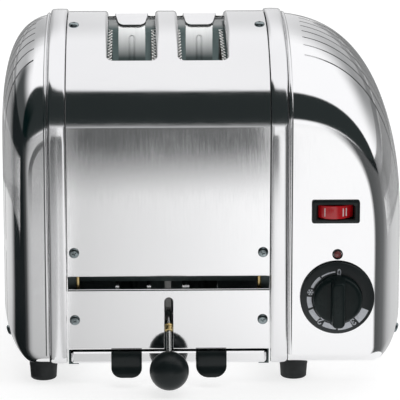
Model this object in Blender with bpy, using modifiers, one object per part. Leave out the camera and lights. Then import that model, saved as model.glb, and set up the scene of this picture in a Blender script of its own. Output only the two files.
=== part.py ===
"""Two slot pop up toaster: every separate piece as its own closed solid, at real size.

The body is laid out about its own centre: x runs from the narrow end to the control
end, y from the front to the back, z up from the table.  One empty carries everything,
because the model's origin is the middle of the whole toaster's footprint.
"""

import math

import bmesh
import bpy
from mathutils import Matrix, Vector

MM = 0.001

# Body section, seen from the end: straight sides, then a superelliptic crown.
BODY_HALF_DEPTH = 100.0 * MM
SHOULDER_Z = 159.0 * MM
CROWN_Z = 218.0 * MM
CROWN_POWER = 2.31
SHEET = 1.0 * MM
GAP = 0.3 * MM

# Along the length of the body.
FRAME_INNER_X = 64.4 * MM
FRAME_OUTER_X = 75.7 * MM
FRAME_PROUD = 1.6 * MM
FRAME_BOTTOM_Z = 13.2 * MM
SHEET_HALF_WIDTH = FRAME_INNER_X - GAP
COVER_SEAM_X = FRAME_OUTER_X + GAP
COVER_SHEET = 1.2 * MM
SEAM_TRIM = 0.8 * MM

# Front and back walls.
PANEL_INSET = 1.5 * MM
COVER_EDGE_Z = 168.8 * MM
PANEL_TOP_Z = 173.0 * MM
PANEL_BOTTOM_Z = 71.2 * MM
LOWER_PANEL_TOP_Z = 61.8 * MM
LOWER_PANEL_ROLL = 1.5 * MM
LOWER_PANEL_BOTTOM_Z = 22.8 * MM
LEVER_SLOT_WIDTH = 5.6 * MM
LEVER_SLOT_TOP_Z = 57.7 * MM

# Bread slots, chambers and heating.
SLOT_X = 22.65 * MM
SLOT_WIDTH = 31.0 * MM
SLOT_HALF_LENGTH = 68.0 * MM
SLOT_CORNER = 4.5 * MM
SLOT_RIM_DEPTH = 7.0 * MM
SLOT_RIM_WALL = 1.0 * MM
CHAMBER_BOTTOM_Z = 78.0 * MM
CHAMBER_TOP_Z = 194.0 * MM
GUARD_OFFSET_X = 13.7 * MM
ELEMENT_X = 45.3 * MM
GUIDE_Y = 67.2 * MM
GUIDE_SLOT_WIDTH = 4.4 * MM

# Bread carriers and lift lever.
CARRIER_TOP_Z = 104.0 * MM
CROSSBAR_Y = -1.4 * MM
CROSSBAR_Z = 66.4 * MM
CROSSBAR_RADIUS = 2.5 * MM
PIVOT_Y = -70.0 * MM
PIVOT_Z = 36.0 * MM
PIVOT_RADIUS = 3.0 * MM
FORK_ANGLE = math.radians(24.6)
BALL_RADIUS = 12.5 * MM
BALL_Y = -119.0 * MM
BALL_Z = 15.5 * MM
ROD_RADIUS = 1.5 * MM
ROD_KNEE = Vector((0.0, -91.6 * MM, 45.9 * MM))
ROD_START = Vector((0.0, -71.0 * MM, 40.5 * MM))
BUSH = Vector((0.0, -99.0 * MM, 37.7 * MM))

# Crumb tray and the folded channel that it slides in.
CHANNEL_TOP_Z = 24.2 * MM
CHANNEL_LIP_Z = 12.6 * MM
CHANNEL_HALF_LENGTH = 95.0 * MM
TRAY_HALF_WIDTH = 62.2 * MM
TRAY_BOTTOM_Z = 13.8 * MM
TRAY_TOP_Z = 22.2 * MM
TAB_X = 27.0 * MM

# Controls on the flat front face of the control end.
KNOB_X = 106.9 * MM
KNOB_Z = 57.8 * MM
KNOB_RADIUS = 23.6 * MM
LAMP_Z = 86.0 * MM
SWITCH_X = 105.5 * MM
SWITCH_Z = 114.1 * MM
ROCKER_TILT = math.radians(-6.0)

# Feet, gland and the whole toaster's footprint.
FOOT_X = 80.4 * MM
FOOT_Y = 82.0 * MM
FOOT_RADIUS = 9.0 * MM
GLAND_X = 112.0 * MM
GLAND_Z = 40.0 * MM
GLAND_BACK_Y = 109.0 * MM
LEFT_REACH_X = 107.5 * MM
RIGHT_REACH_X = 152.5 * MM
BODY_CENTRE = Vector((
    (LEFT_REACH_X - RIGHT_REACH_X) / 2,
    (BALL_RADIUS - BALL_Y - GLAND_BACK_Y) / 2,
    0.0,
))

# Each end cover bulges from a flat front outline to a wider outline half way back.
# A pair gives the value on the flat face and the value half way back.
LEFT_COVER = {
    "side": -1,
    "pole_x": 59.0 * MM,
    "side_x": (85.6 * MM, LEFT_REACH_X),
    "corner_z": (135.0 * MM, 135.2 * MM),
    "top_z": (160.0 * MM, 217.0 * MM),
    "power": (2.75, 3.26),
    "slit_x": 85.0 * MM,
}
RIGHT_COVER = {
    "side": 1,
    "pole_x": 61.4 * MM,
    "side_x": (129.6 * MM, RIGHT_REACH_X),
    "corner_z": (79.3 * MM, 83.9 * MM),
    "top_z": (166.0 * MM, 216.5 * MM),
    "power": (3.1, 2.52),
    "slit_x": 87.0 * MM,
}
COVER_BOTTOM_Z = (20.0 * MM, 13.8 * MM)
COVER_BOTTOM_FILLET = 6.0 * MM
BOTTOM_CORNER_WIDTH = (4.0 * MM, 15.0 * MM)
BOTTOM_CORNER_HEIGHT = (4.0 * MM, 24.0 * MM)
SIDE_SCREW_Y = -60.0 * MM
SIDE_SCREW_Z = 25.0 * MM
SLIT_WIDTH = 1.5 * MM
SLIT_PITCH = 13.6 * MM
SLIT_COUNT = 10
SLIT_UPPER_END_Z = 86.0 * MM
SLIT_LOWER_Z = (30.0 * MM, 78.5 * MM)

YZ_PLANE = Matrix(((0, 0, 1, 0), (1, 0, 0, 0), (0, 1, 0, 0), (0, 0, 0, 1)))
XZ_PLANE = Matrix(((1, 0, 0, 0), (0, 0, -1, 0), (0, 1, 0, 0), (0, 0, 0, 1)))
XY_PLANE = Matrix.Identity(4)


# ---------------------------------------------------------------- scene and materials

def clear_scene():
    for old in list(bpy.data.objects):
        bpy.data.objects.remove(old, do_unlink=True)


def make_collection(name):
    collection = bpy.data.collections.new(name)
    bpy.context.scene.collection.children.link(collection)
    return collection


def make_origin():
    empty = bpy.data.objects.new("body_centre", None)
    empty.location = BODY_CENTRE
    PARTS.objects.link(empty)
    return empty


def make_material(name, colour, roughness, metallic):
    material = bpy.data.materials.new(name)
    material.use_nodes = True
    shader = material.node_tree.nodes["Principled BSDF"]
    shader.inputs["Base Color"].default_value = (*colour, 1.0)
    shader.inputs["Roughness"].default_value = roughness
    shader.inputs["Metallic"].default_value = metallic
    material.diffuse_color = (*colour, 1.0)
    return material


clear_scene()
PARTS = make_collection("pop_up_toaster")
CUTTERS = make_collection("cutters")
ORIGIN = make_origin()

POLISHED = make_material("polished_steel", (0.78, 0.78, 0.79), 0.12, 1.0)
CAST = make_material("polished_casting", (0.74, 0.74, 0.75), 0.2, 1.0)
STEEL = make_material("plain_steel", (0.55, 0.55, 0.55), 0.35, 1.0)
ZINC = make_material("screw_steel", (0.65, 0.65, 0.66), 0.3, 1.0)
BRASS = make_material("brass", (0.66, 0.46, 0.17), 0.3, 1.0)
BLACK = make_material("black_plastic", (0.02, 0.022, 0.022), 0.35, 0.0)
RUBBER = make_material("black_rubber", (0.018, 0.018, 0.018), 0.75, 0.0)
RED = make_material("red_plastic", (0.62, 0.02, 0.02), 0.25, 0.0)
LENS = make_material("lamp_lens", (0.35, 0.05, 0.04), 0.2, 0.0)
MICA = make_material("mica", (0.52, 0.42, 0.3), 0.6, 0.0)


# ---------------------------------------------------------------- shape helpers

def add_object(name, mesh, material, location=(0, 0, 0), rotation=(0, 0, 0)):
    """Put a mesh in the model as one named part, smooth except at its sharp edges."""
    part = bpy.data.objects.new(name, mesh)
    part.location = location
    part.rotation_euler = rotation
    part.parent = ORIGIN
    PARTS.objects.link(part)
    mesh.materials.clear()
    mesh.materials.append(material)
    mesh.shade_smooth()
    mesh.set_sharp_from_angle(angle=math.radians(35))
    return part


def add_cutter(name, mesh, location=(0, 0, 0), rotation=(0, 0, 0)):
    tool = bpy.data.objects.new(name, mesh)
    tool.location = location
    tool.rotation_euler = rotation
    tool.parent = ORIGIN
    tool.hide_render = True
    tool.display_type = "WIRE"
    CUTTERS.objects.link(tool)
    return tool


def combine(part, tool, operation):
    step = part.modifiers.new(tool.name, "BOOLEAN")
    step.object = tool
    step.operation = operation
    step.solver = "EXACT"


def cut(part, mesh, **place):
    combine(part, add_cutter(part.name + "_cutter", mesh, **place), "DIFFERENCE")


def join(part, mesh, **place):
    combine(part, add_cutter(part.name + "_addition", mesh, **place), "UNION")


def keep_inside(part, mesh, **place):
    combine(part, add_cutter(part.name + "_limit", mesh, **place), "INTERSECT")


def bevel(part, width, segments=2, angle=40):
    step = part.modifiers.new("bevel", "BEVEL")
    step.width = width
    step.segments = segments
    step.limit_method = "ANGLE"
    step.angle_limit = math.radians(angle)


def box_mesh(low, high):
    """A box between two corners."""
    low = Vector(low)
    high = Vector(high)
    shape = bmesh.new()
    bmesh.ops.create_cube(shape, size=1.0)
    bmesh.ops.scale(shape, vec=high - low, verts=shape.verts)
    bmesh.ops.translate(shape, vec=(low + high) / 2, verts=shape.verts)
    return finish_mesh("box", shape)


def round_mesh(radius, length, sides=20, top_radius=None):
    """A cylinder or cone along z, standing on z = 0."""
    shape = bmesh.new()
    top = radius if top_radius is None else top_radius
    bmesh.ops.create_cone(shape, cap_ends=True, segments=sides, radius1=radius, radius2=top,
                          depth=length)
    bmesh.ops.translate(shape, vec=(0, 0, length / 2), verts=shape.verts)
    return finish_mesh("round", shape)


def finish_mesh(name, shape):
    mesh = bpy.data.meshes.new(name)
    shape.to_mesh(mesh)
    shape.free()
    return mesh


def weld_mesh(mesh):
    shape = bmesh.new()
    shape.from_mesh(mesh)
    bmesh.ops.remove_doubles(shape, verts=shape.verts, dist=0.005 * MM)
    bmesh.ops.recalc_face_normals(shape, faces=shape.faces)
    shape.to_mesh(mesh)
    shape.free()


def curve_to_mesh(curve, matrix=XY_PLANE):
    """The closed mesh of a curve object, which is then removed."""
    holder = bpy.data.objects.new("outline", curve)
    CUTTERS.objects.link(holder)
    graph = bpy.context.evaluated_depsgraph_get()
    mesh = bpy.data.meshes.new_from_object(holder.evaluated_get(graph))
    mesh.transform(matrix)
    bpy.data.objects.remove(holder, do_unlink=True)
    weld_mesh(mesh)
    return mesh


def prism_mesh(outlines, plane, low, high):
    """Flat outlines, the first one solid and the others holes, between two depths."""
    curve = bpy.data.curves.new("outline", "CURVE")
    curve.dimensions = "2D"
    curve.fill_mode = "BOTH"
    curve.extrude = (high - low) / 2
    for outline in outlines:
        spline = curve.splines.new("POLY")
        spline.points.add(len(outline) - 1)
        for point, (across, up) in zip(spline.points, outline):
            point.co = (across, up, 0.0, 1.0)
        spline.use_cyclic_u = True
    middle = (low + high) / 2
    if plane is XZ_PLANE:
        middle = -middle
    return curve_to_mesh(curve, plane @ Matrix.Translation((0, 0, middle)))


def tube_mesh(points, radius):
    """A round rod through the points, with closed ends."""
    curve = bpy.data.curves.new("rod", "CURVE")
    curve.dimensions = "3D"
    curve.bevel_depth = radius
    curve.bevel_resolution = 2
    curve.use_fill_caps = True
    spline = curve.splines.new("POLY")
    spline.points.add(len(points) - 1)
    for point, place in zip(spline.points, points):
        point.co = (*place, 1.0)
    return curve_to_mesh(curve)


def turned_part(name, profile, material, steps, location, rotation=(0, 0, 0)):
    """A profile of (radius, height) pairs, top to bottom, turned about z.

    A profile that starts off the axis is closed into a ring.
    """
    shape = bmesh.new()
    row = [shape.verts.new((radius, 0.0, height)) for radius, height in profile]
    if profile[0][0] > 0.0:
        row.append(row[0])
    for upper, lower in zip(row, row[1:]):
        shape.edges.new((upper, lower))
    part = add_object(name, finish_mesh(name, shape), material, location, rotation)
    turn = part.modifiers.new("turn", "SCREW")
    turn.steps = steps
    turn.render_steps = steps
    turn.use_merge_vertices = True
    turn.merge_threshold = 0.01 * MM
    return part


def rounded_rectangle(half_width, half_height, radius, centre=(0.0, 0.0), steps=4):
    points = []
    for quarter in range(4):
        turn = quarter * math.pi / 2
        middle_x = (half_width - radius) * (1 if quarter in (0, 3) else -1)
        middle_y = (half_height - radius) * (1 if quarter in (0, 1) else -1)
        for step in range(steps + 1):
            angle = turn + step * math.pi / 2 / steps
            points.append((centre[0] + middle_x + radius * math.cos(angle),
                           centre[1] + middle_y + radius * math.sin(angle)))
    return points


def arc(centre, radius, start, end, steps):
    """Points round part of a circle, with the angles in degrees."""
    angles = [math.radians(start + (end - start) * i / steps) for i in range(steps + 1)]
    return [(centre[0] + radius * math.cos(a), centre[1] + radius * math.sin(a)) for a in angles]


FACE_FRONT = (math.radians(90), 0, 0)
FACE_BACK = (math.radians(-90), 0, 0)


# ---------------------------------------------------------------- body section

def section_height(y, inset=0.0):
    """Height of the crown at a depth y."""
    half = BODY_HALF_DEPTH - inset
    share = max(0.0, 1 - (abs(y) / half) ** CROWN_POWER)
    return SHOULDER_Z + (CROWN_Z - inset - SHOULDER_Z) * share ** (1 / CROWN_POWER)


def section_depth(z, inset=0.0):
    """Distance of the wall from the middle plane at a height z."""
    half = BODY_HALF_DEPTH - inset
    rise = max(0.0, (z - SHOULDER_Z) / (CROWN_Z - inset - SHOULDER_Z))
    return half * (1 - rise ** CROWN_POWER) ** (1 / CROWN_POWER)


def crown_curve(inset, low_z, steps=22):
    """The section from the front wall at low_z, over the crown, to the back wall."""
    half = BODY_HALF_DEPTH - inset
    rise = CROWN_Z - inset - SHOULDER_Z
    start = math.asin(max(0.0, (low_z - SHOULDER_Z) / rise) ** (CROWN_POWER / 2))
    points = [(-half, low_z)] if low_z < SHOULDER_Z else []
    for step in range(steps + 1):
        angle = start + (math.pi - 2 * start) * step / steps
        reach = math.copysign(abs(math.cos(angle)) ** (2 / CROWN_POWER), math.cos(angle))
        lift = max(0.0, math.sin(angle)) ** (2 / CROWN_POWER)
        points.append((-half * reach, SHOULDER_Z + rise * lift))
    if low_z < SHOULDER_Z:
        points.append((half, low_z))
    return points


def wall_curve(inset, low_z, high_z, steps=4):
    """The section of one wall, as distances from the middle plane."""
    bend_z = min(high_z, SHOULDER_Z)
    points = [(section_depth(low_z, inset), low_z), (section_depth(bend_z, inset), bend_z)]
    if high_z > SHOULDER_Z:
        for step in range(1, steps + 1):
            z = SHOULDER_Z + (high_z - SHOULDER_Z) * step / steps
            points.append((section_depth(z, inset), z))
    return points


def crown_shell_mesh(inset, thickness, low_z, half_width):
    outer = crown_curve(inset, low_z)
    inner = crown_curve(inset + thickness, low_z)
    return prism_mesh([outer + inner[::-1]], YZ_PLANE, -half_width, half_width)


def build_top_cover():
    """Bent crown sheet with two slots, whose edges are turned down."""
    shell = crown_shell_mesh(0.0, SHEET, COVER_EDGE_Z, SHEET_HALF_WIDTH)
    cover = add_object("top_cover", shell, POLISHED)
    high = CROWN_Z + 10 * MM
    for side in (-1, 1):
        centre = (side * SLOT_X, 0.0)
        half = (SLOT_WIDTH / 2, SLOT_HALF_LENGTH)
        inner = rounded_rectangle(half[0], half[1], SLOT_CORNER, centre)
        middle = rounded_rectangle(half[0] + SLOT_RIM_WALL / 2, half[1] + SLOT_RIM_WALL / 2,
                                   SLOT_CORNER + SLOT_RIM_WALL / 2, centre)
        outer = rounded_rectangle(half[0] + SLOT_RIM_WALL, half[1] + SLOT_RIM_WALL,
                                  SLOT_CORNER + SLOT_RIM_WALL, centre)
        cut(cover, prism_mesh([middle], XY_PLANE, SHOULDER_Z, high))
        rim = add_cutter("slot_rim", prism_mesh([outer, inner], XY_PLANE, SHOULDER_Z, high))
        keep_inside(rim, crown_shell_mesh(0.2 * MM, SLOT_RIM_DEPTH, SHOULDER_Z,
                                          SHEET_HALF_WIDTH - 2 * MM))
        combine(cover, rim, "UNION")


def wall_mesh(side, outline, half_width):
    """A wall's section, given as distances from the middle plane, across the body."""
    placed = [(side * depth, z) for depth, z in outline]
    return prism_mesh([placed], YZ_PLANE, -half_width, half_width)


def sheet_outline(inset, low_z, high_z):
    outer = wall_curve(inset, low_z, high_z)
    inner = wall_curve(inset + SHEET, low_z, high_z)
    return outer + inner[::-1]


SCREW_PLACES = [(-59.8 * MM, 87.3 * MM), (59.8 * MM, 87.3 * MM),
                (-59.7 * MM, 43.0 * MM), (59.7 * MM, 43.0 * MM)]
SCREW_HOLE_RADIUS = 2.0 * MM


def cut_screw_holes(panel, side, places):
    for x, z in places:
        cut(panel, round_mesh(SCREW_HOLE_RADIUS, 20 * MM, sides=10),
            location=(x, side * BODY_HALF_DEPTH + 10 * MM, z), rotation=FACE_FRONT)


def build_panels():
    upper = sheet_outline(PANEL_INSET, PANEL_BOTTOM_Z, PANEL_TOP_Z)
    front = add_object("front_panel", wall_mesh(-1, upper, SHEET_HALF_WIDTH), POLISHED)
    cut_screw_holes(front, -1, SCREW_PLACES[:2])

    full = sheet_outline(PANEL_INSET, LOWER_PANEL_BOTTOM_Z, PANEL_TOP_Z)
    back = add_object("back_panel", wall_mesh(1, full, SHEET_HALF_WIDTH), POLISHED)
    cut_screw_holes(back, 1, SCREW_PLACES)

    face = BODY_HALF_DEPTH - PANEL_INSET
    roll = arc((face - LOWER_PANEL_ROLL, LOWER_PANEL_TOP_Z), LOWER_PANEL_ROLL, 0, 250, 8)
    outline = [(face - SHEET, LOWER_PANEL_BOTTOM_Z), (face, LOWER_PANEL_BOTTOM_Z)] + roll
    outline.append((face - SHEET, LOWER_PANEL_TOP_Z - 1.2 * LOWER_PANEL_ROLL))
    lower = add_object("lower_front_panel", wall_mesh(-1, outline, SHEET_HALF_WIDTH), POLISHED)
    cut_screw_holes(lower, -1, SCREW_PLACES[2:])
    half = LEVER_SLOT_WIDTH / 2
    slot = arc((0.0, LEVER_SLOT_TOP_Z - half), half, 0, 180, 8)
    slot += [(-half, 0.0), (half, 0.0)]
    cut(lower, prism_mesh([slot], XZ_PLANE, -110 * MM, -90 * MM))


# ---------------------------------------------------------------- ends

def build_end_frame(name, side):
    """Cast bulkhead: a web inside a rim that shows as a raised band."""
    rim = 4.0 * MM
    web = (69.0 * MM, 72.0 * MM)
    outer = crown_curve(-FRAME_PROUD, FRAME_BOTTOM_Z)
    pocket = crown_curve(rim, FRAME_BOTTOM_Z + rim)

    def slab(outline, near, far):
        low, high = sorted((side * near, side * far))
        return prism_mesh([outline], YZ_PLANE, low, high)

    frame = add_object(name, slab(outer, FRAME_INNER_X, FRAME_OUTER_X), CAST)
    bevel(frame, 1.3 * MM, segments=2, angle=60)
    cut(frame, slab(pocket, FRAME_INNER_X - 5 * MM, web[0]))
    cut(frame, slab(pocket, web[1], FRAME_OUTER_X + 5 * MM))


def cover_slice(cover, y):
    """The cover's outline across the toaster at one depth, from seam to seam."""
    bulge = max(0.0, 1 - (abs(y) / BODY_HALF_DEPTH) ** CROWN_POWER) ** (1 / CROWN_POWER)

    def between(pair):
        return pair[0] + (pair[1] - pair[0]) * bulge

    side_x = between(cover["side_x"])
    corner_z = between(cover["corner_z"])
    top_z = between(cover["top_z"])
    power = between(cover["power"])
    foot_width = between(BOTTOM_CORNER_WIDTH)
    foot_height = between(BOTTOM_CORNER_HEIGHT)
    edge = max(0.0, (abs(y) - BODY_HALF_DEPTH) / COVER_BOTTOM_FILLET + 1)
    drop = math.sqrt(max(0.0, 1 - edge ** 2))
    bottom_z = COVER_BOTTOM_Z[0] + (COVER_BOTTOM_Z[1] - COVER_BOTTOM_Z[0]) * drop

    pole_x = cover["pole_x"]
    near_x = COVER_SEAM_X - SEAM_TRIM
    first = math.asin(((near_x - pole_x) / (side_x - pole_x)) ** (power / 2))
    points = []
    corner_steps = 9
    for step in range(corner_steps + 1):
        angle = first + (math.pi / 2 - first) * step / corner_steps
        points.append((pole_x + (side_x - pole_x) * math.sin(angle) ** (2 / power),
                       corner_z + (top_z - corner_z) * max(0.0, math.cos(angle)) ** (2 / power)))
    foot_steps = 4
    for step in range(foot_steps + 1):
        angle = step * math.pi / 2 / foot_steps
        points.append((side_x - foot_width + foot_width * math.cos(angle),
                       bottom_z + foot_height - foot_height * math.sin(angle)))
    points.append((near_x, bottom_z))
    return [Vector((cover["side"] * x, y, z)) for x, z in points]


def cover_stations(count=16):
    """Depths of the slices, closer together near the flat faces."""
    for step in range(count + 1):
        share = step / count
        angle = math.pi * share - 0.3 * math.sin(2 * math.pi * share)
        reach = math.copysign(abs(math.cos(angle)) ** (2 / CROWN_POWER), math.cos(angle))
        yield -BODY_HALF_DEPTH * reach


def cover_surface(cover):
    """The open outer surface: slices joined in a row, with a flat face at each end."""
    shape = bmesh.new()
    rows = [[shape.verts.new(p) for p in cover_slice(cover, y)] for y in cover_stations()]
    for near, far in zip(rows, rows[1:]):
        for i in range(len(near) - 1):
            shape.faces.new((near[i], near[i + 1], far[i + 1], far[i]))
    shape.faces.new(rows[0])
    shape.faces.new(rows[-1])
    bmesh.ops.remove_doubles(shape, verts=shape.verts, dist=0.01 * MM)
    bmesh.ops.recalc_face_normals(shape, faces=shape.faces)
    middle = Vector((cover["side"] * 60 * MM, 0, 100 * MM))
    lead = max(shape.faces, key=lambda f: f.calc_center_median().z)
    if lead.normal.dot(lead.calc_center_median() - middle) < 0:
        bmesh.ops.reverse_faces(shape, faces=shape.faces)
    return finish_mesh("cover", shape)


def cut_slits(part, cover):
    """Vent slits over the shoulder and a shorter group lower down the end."""
    near = cover["slit_x"]
    far = RIGHT_REACH_X + 5 * MM
    groups = (((near, SLIT_UPPER_END_Z), (far, CROWN_Z + 5 * MM)),
              ((cover["side_x"][0] + 2 * MM, SLIT_LOWER_Z[0]), (far, SLIT_LOWER_Z[1])))
    for index in range(SLIT_COUNT):
        y = (index - (SLIT_COUNT - 1) / 2) * SLIT_PITCH
        for (x0, z0), (x1, z1) in groups:
            low_x, high_x = sorted((cover["side"] * x0, cover["side"] * x1))
            cut(part, box_mesh((low_x, y - SLIT_WIDTH / 2, z0), (high_x, y + SLIT_WIDTH / 2, z1)))


def cover_reach(cover, y, z):
    """How far out the side of the cover stands at a depth and a height."""
    ring = cover_slice(cover, y)
    for upper, lower in zip(ring, ring[1:]):
        if upper.z >= z > lower.z:
            share = (upper.z - z) / (upper.z - lower.z)
            return abs(upper.x + (lower.x - upper.x) * share)
    return max(abs(point.x) for point in ring)


def side_screw_place(cover):
    """Where the side screw sits on the cover, and how it is turned to face out."""
    side = cover["side"]
    y, z = SIDE_SCREW_Y, SIDE_SCREW_Z
    reach = cover_reach(cover, y, z)
    slope_y = (cover_reach(cover, y + MM, z) - reach) / MM
    slope_z = (cover_reach(cover, y, z + MM) - reach) / MM
    outward = Vector((side, -slope_y, -slope_z))
    return (side * reach, y, z), tuple(outward.to_track_quat("Z", "Y").to_euler())


def build_end_cover(name, cover):
    part = add_object(name, cover_surface(cover), POLISHED)
    shell = part.modifiers.new("sheet", "SOLIDIFY")
    shell.thickness = COVER_SHEET
    shell.offset = -1
    shell.use_even_offset = True
    cut(part, box_mesh((-COVER_SEAM_X, -120 * MM, 0.0), (COVER_SEAM_X, 120 * MM, 240 * MM)))
    cut_slits(part, cover)
    place, turn = side_screw_place(cover)
    hole = round_mesh(1.9 * MM, 16 * MM, sides=10)
    hole.transform(Matrix.Translation((0, 0, -8 * MM)))
    cut(part, hole, location=place, rotation=turn)
    return part




def cut_control_openings(cover):
    """Holes in the flat faces for the spindle, lamp, switch and gland."""
    front_y = -BODY_HALF_DEPTH + 10 * MM
    cut(cover, round_mesh(4.0 * MM, 20 * MM, sides=16),
        location=(KNOB_X, front_y, KNOB_Z), rotation=FACE_FRONT)
    cut(cover, round_mesh(3.1 * MM, 20 * MM, sides=14),
        location=(KNOB_X, front_y, LAMP_Z), rotation=FACE_FRONT)
    cut(cover, box_mesh((SWITCH_X - 13.6 * MM, -110 * MM, SWITCH_Z - 6 * MM),
                        (SWITCH_X + 13.6 * MM, -90 * MM, SWITCH_Z + 6 * MM)))
    cut(cover, round_mesh(5.8 * MM, 20 * MM, sides=16),
        location=(GLAND_X, BODY_HALF_DEPTH + 10 * MM, GLAND_Z), rotation=FACE_FRONT)


def build_ends():
    build_end_frame("left_end_frame", -1)
    build_end_frame("right_end_frame", 1)
    build_end_cover("left_end_cover", LEFT_COVER)
    cut_control_openings(build_end_cover("right_end_cover", RIGHT_COVER))


# ---------------------------------------------------------------- fasteners and feet

def build_screw(name, location, rotation, head=3.3 * MM, shank=4.5 * MM):
    """Pan head screw: the head stands on z = 0 and the shank runs down from it."""
    profile = [(0.0, 1.9 * MM), (head * 0.65, 1.7 * MM), (head, 0.7 * MM), (head, 0.0),
               (1.5 * MM, 0.0), (1.5 * MM, -shank), (0.0, -shank)]
    turned_part(name, profile, ZINC, 10, location, rotation)


def build_screws():
    rest = PANEL_INSET - GAP
    names = ("upper_left", "upper_right", "lower_left", "lower_right")
    for name, (x, z) in zip(names, SCREW_PLACES):
        build_screw("front_screw_" + name, (x, rest - BODY_HALF_DEPTH, z), FACE_FRONT)
        build_screw("back_screw_" + name, (x, BODY_HALF_DEPTH - rest, z), FACE_BACK)
    for name, side in (("left", -1), ("right", 1)):
        y = -18.0 * MM
        build_screw("crown_screw_" + name, (side * 60 * MM, y, section_height(y) + 0.4 * MM),
                    (0, 0, 0), head=3.0 * MM, shank=4 * MM)
        (x, y, z), turn = side_screw_place(RIGHT_COVER if side > 0 else LEFT_COVER)
        build_screw("side_screw_" + name, (x + side * 0.4 * MM, y, z), turn,
                    head=3.0 * MM, shank=4 * MM)


def build_crown_screw_holes():
    cover = bpy.data.objects["top_cover"]
    for side in (-1, 1):
        cut(cover, round_mesh(1.9 * MM, 20 * MM, sides=10),
            location=(side * 60 * MM, -18 * MM, CROWN_Z - 10 * MM))


def build_feet():
    top = FRAME_BOTTOM_Z - GAP
    profile = [(0.0, top), (FOOT_RADIUS, top), (FOOT_RADIUS, 8 * MM),
               (FOOT_RADIUS * 0.93, 1.0 * MM), (FOOT_RADIUS * 0.85, 0.0), (0.0, 0.0)]
    for end, x in (("left", -FOOT_X), ("right", FOOT_X)):
        for face, y in (("front", -FOOT_Y), ("back", FOOT_Y)):
            turned_part("foot_" + face + "_" + end, profile, RUBBER, 20, (x, y, 0))


# ---------------------------------------------------------------- bread chambers

def build_chamber_plates():
    """Cross walls that carry the guides and the heating elements."""
    for name, side in (("front", -1), ("back", 1)):
        low, high = sorted((side * 68.2 * MM, side * 69.2 * MM))
        add_object("chamber_plate_" + name,
                   box_mesh((-63.4 * MM, low, 60 * MM), (63.4 * MM, high, CHAMBER_TOP_Z)), STEEL)


def build_guide(name, x, side):
    """A strip at a chamber's end, with the groove that the carrier's tongue runs in."""
    half = GUIDE_SLOT_WIDTH / 2
    strip = rounded_rectangle(9 * MM, (CHAMBER_TOP_Z - 52 * MM) / 2, 1 * MM,
                              (x, (CHAMBER_TOP_Z + 52 * MM) / 2), steps=1)
    groove = [(x + u, z) for u, z in arc((0.0, 190.7 * MM), half, 0, 180, 6)]
    groove += [(x - half, 57 * MM), (x + half, 57 * MM)]
    low, high = sorted((side * (GUIDE_Y - 0.6 * MM), side * (GUIDE_Y + 0.6 * MM)))
    add_object(name, prism_mesh([strip, groove], XZ_PLANE, low, high), STEEL)


def build_guard(name, x):
    """A grille of upright bars that keeps the bread off an element."""
    bars = 6
    half_length = 64.0 * MM
    low_z = CHAMBER_BOTTOM_Z
    high_z = CHAMBER_TOP_Z - 3 * MM
    wire = 1.6 * MM
    outline = [(-half_length, low_z), (half_length, low_z), (half_length, high_z), (-half_length, high_z)]
    pitch = (2 * half_length - wire) / bars
    windows = []
    for i in range(bars):
        left = -half_length + wire + i * pitch
        right = left + pitch - wire
        windows.append([(left, low_z + wire), (right, low_z + wire),
                        (right, high_z - wire), (left, high_z - wire)])
    mesh = prism_mesh([outline] + windows, YZ_PLANE, x - 0.7 * MM, x + 0.7 * MM)
    add_object(name, mesh, STEEL)


def build_chambers():
    build_chamber_plates()
    for chamber, side in (("left", -1), ("right", 1)):
        x = side * SLOT_X
        build_guide("guide_" + chamber + "_front", x, -1)
        build_guide("guide_" + chamber + "_back", x, 1)
        build_guard("guard_" + chamber + "_outer", x + side * GUARD_OFFSET_X)
        build_guard("guard_" + chamber + "_inner", x - side * GUARD_OFFSET_X)
    for name, x in (("left", -ELEMENT_X), ("centre", 0.0), ("right", ELEMENT_X)):
        board = add_object("element_" + name,
                           box_mesh((x - 1.2 * MM, -63 * MM, CHAMBER_BOTTOM_Z + 2 * MM),
                                    (x + 1.2 * MM, 63 * MM, CHAMBER_TOP_Z - 4 * MM)), MICA)
        bevel(board, 0.4 * MM, segments=1)


# ---------------------------------------------------------------- bread lift

def build_carrier(name, x):
    """Bar with cross pins under the slice, on a stem down to the crossbar."""
    half = 1.7 * MM
    bar_low = CARRIER_TOP_Z - 8 * MM
    stem = 5.5 * MM
    end_y = 67.8 * MM
    end_low = bar_low + 2 * MM
    outline = [(-end_y, end_low), (CROSSBAR_Y - stem, bar_low),
               (CROSSBAR_Y - stem, CROSSBAR_Z - 4 * MM), (CROSSBAR_Y + stem, CROSSBAR_Z - 4 * MM),
               (CROSSBAR_Y + stem, bar_low), (end_y, end_low),
               (end_y, CARRIER_TOP_Z - 2 * MM), (-end_y, CARRIER_TOP_Z - 2 * MM)]
    bore = arc((CROSSBAR_Y, CROSSBAR_Z), CROSSBAR_RADIUS + 0.4 * MM, 0, 330, 11)
    mesh = prism_mesh([outline, bore], YZ_PLANE, x - half, x + half)
    carrier = add_object(name, mesh, STEEL)
    for y in (-50, -30, -10, 10, 30, 50):
        join(carrier, round_mesh(1.3 * MM, 22 * MM, sides=8),
             location=(x - 11 * MM, y * MM, CARRIER_TOP_Z - 5.0 * MM),
             rotation=(0, math.radians(90), 0))


def build_carriers():
    build_carrier("carrier_left", -SLOT_X)
    build_carrier("carrier_right", SLOT_X)
    reach = SLOT_X + 4 * MM
    add_object("carrier_crossbar", round_mesh(CROSSBAR_RADIUS, 2 * reach, sides=14), STEEL,
               location=(-reach, CROSSBAR_Y, CROSSBAR_Z), rotation=(0, math.radians(90), 0))


def rod_direction():
    """Unit vector up the straight stretch of the rod, from the ball to the bush."""
    return (BUSH - Vector((0.0, BALL_Y, BALL_Z))).normalized()


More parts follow.
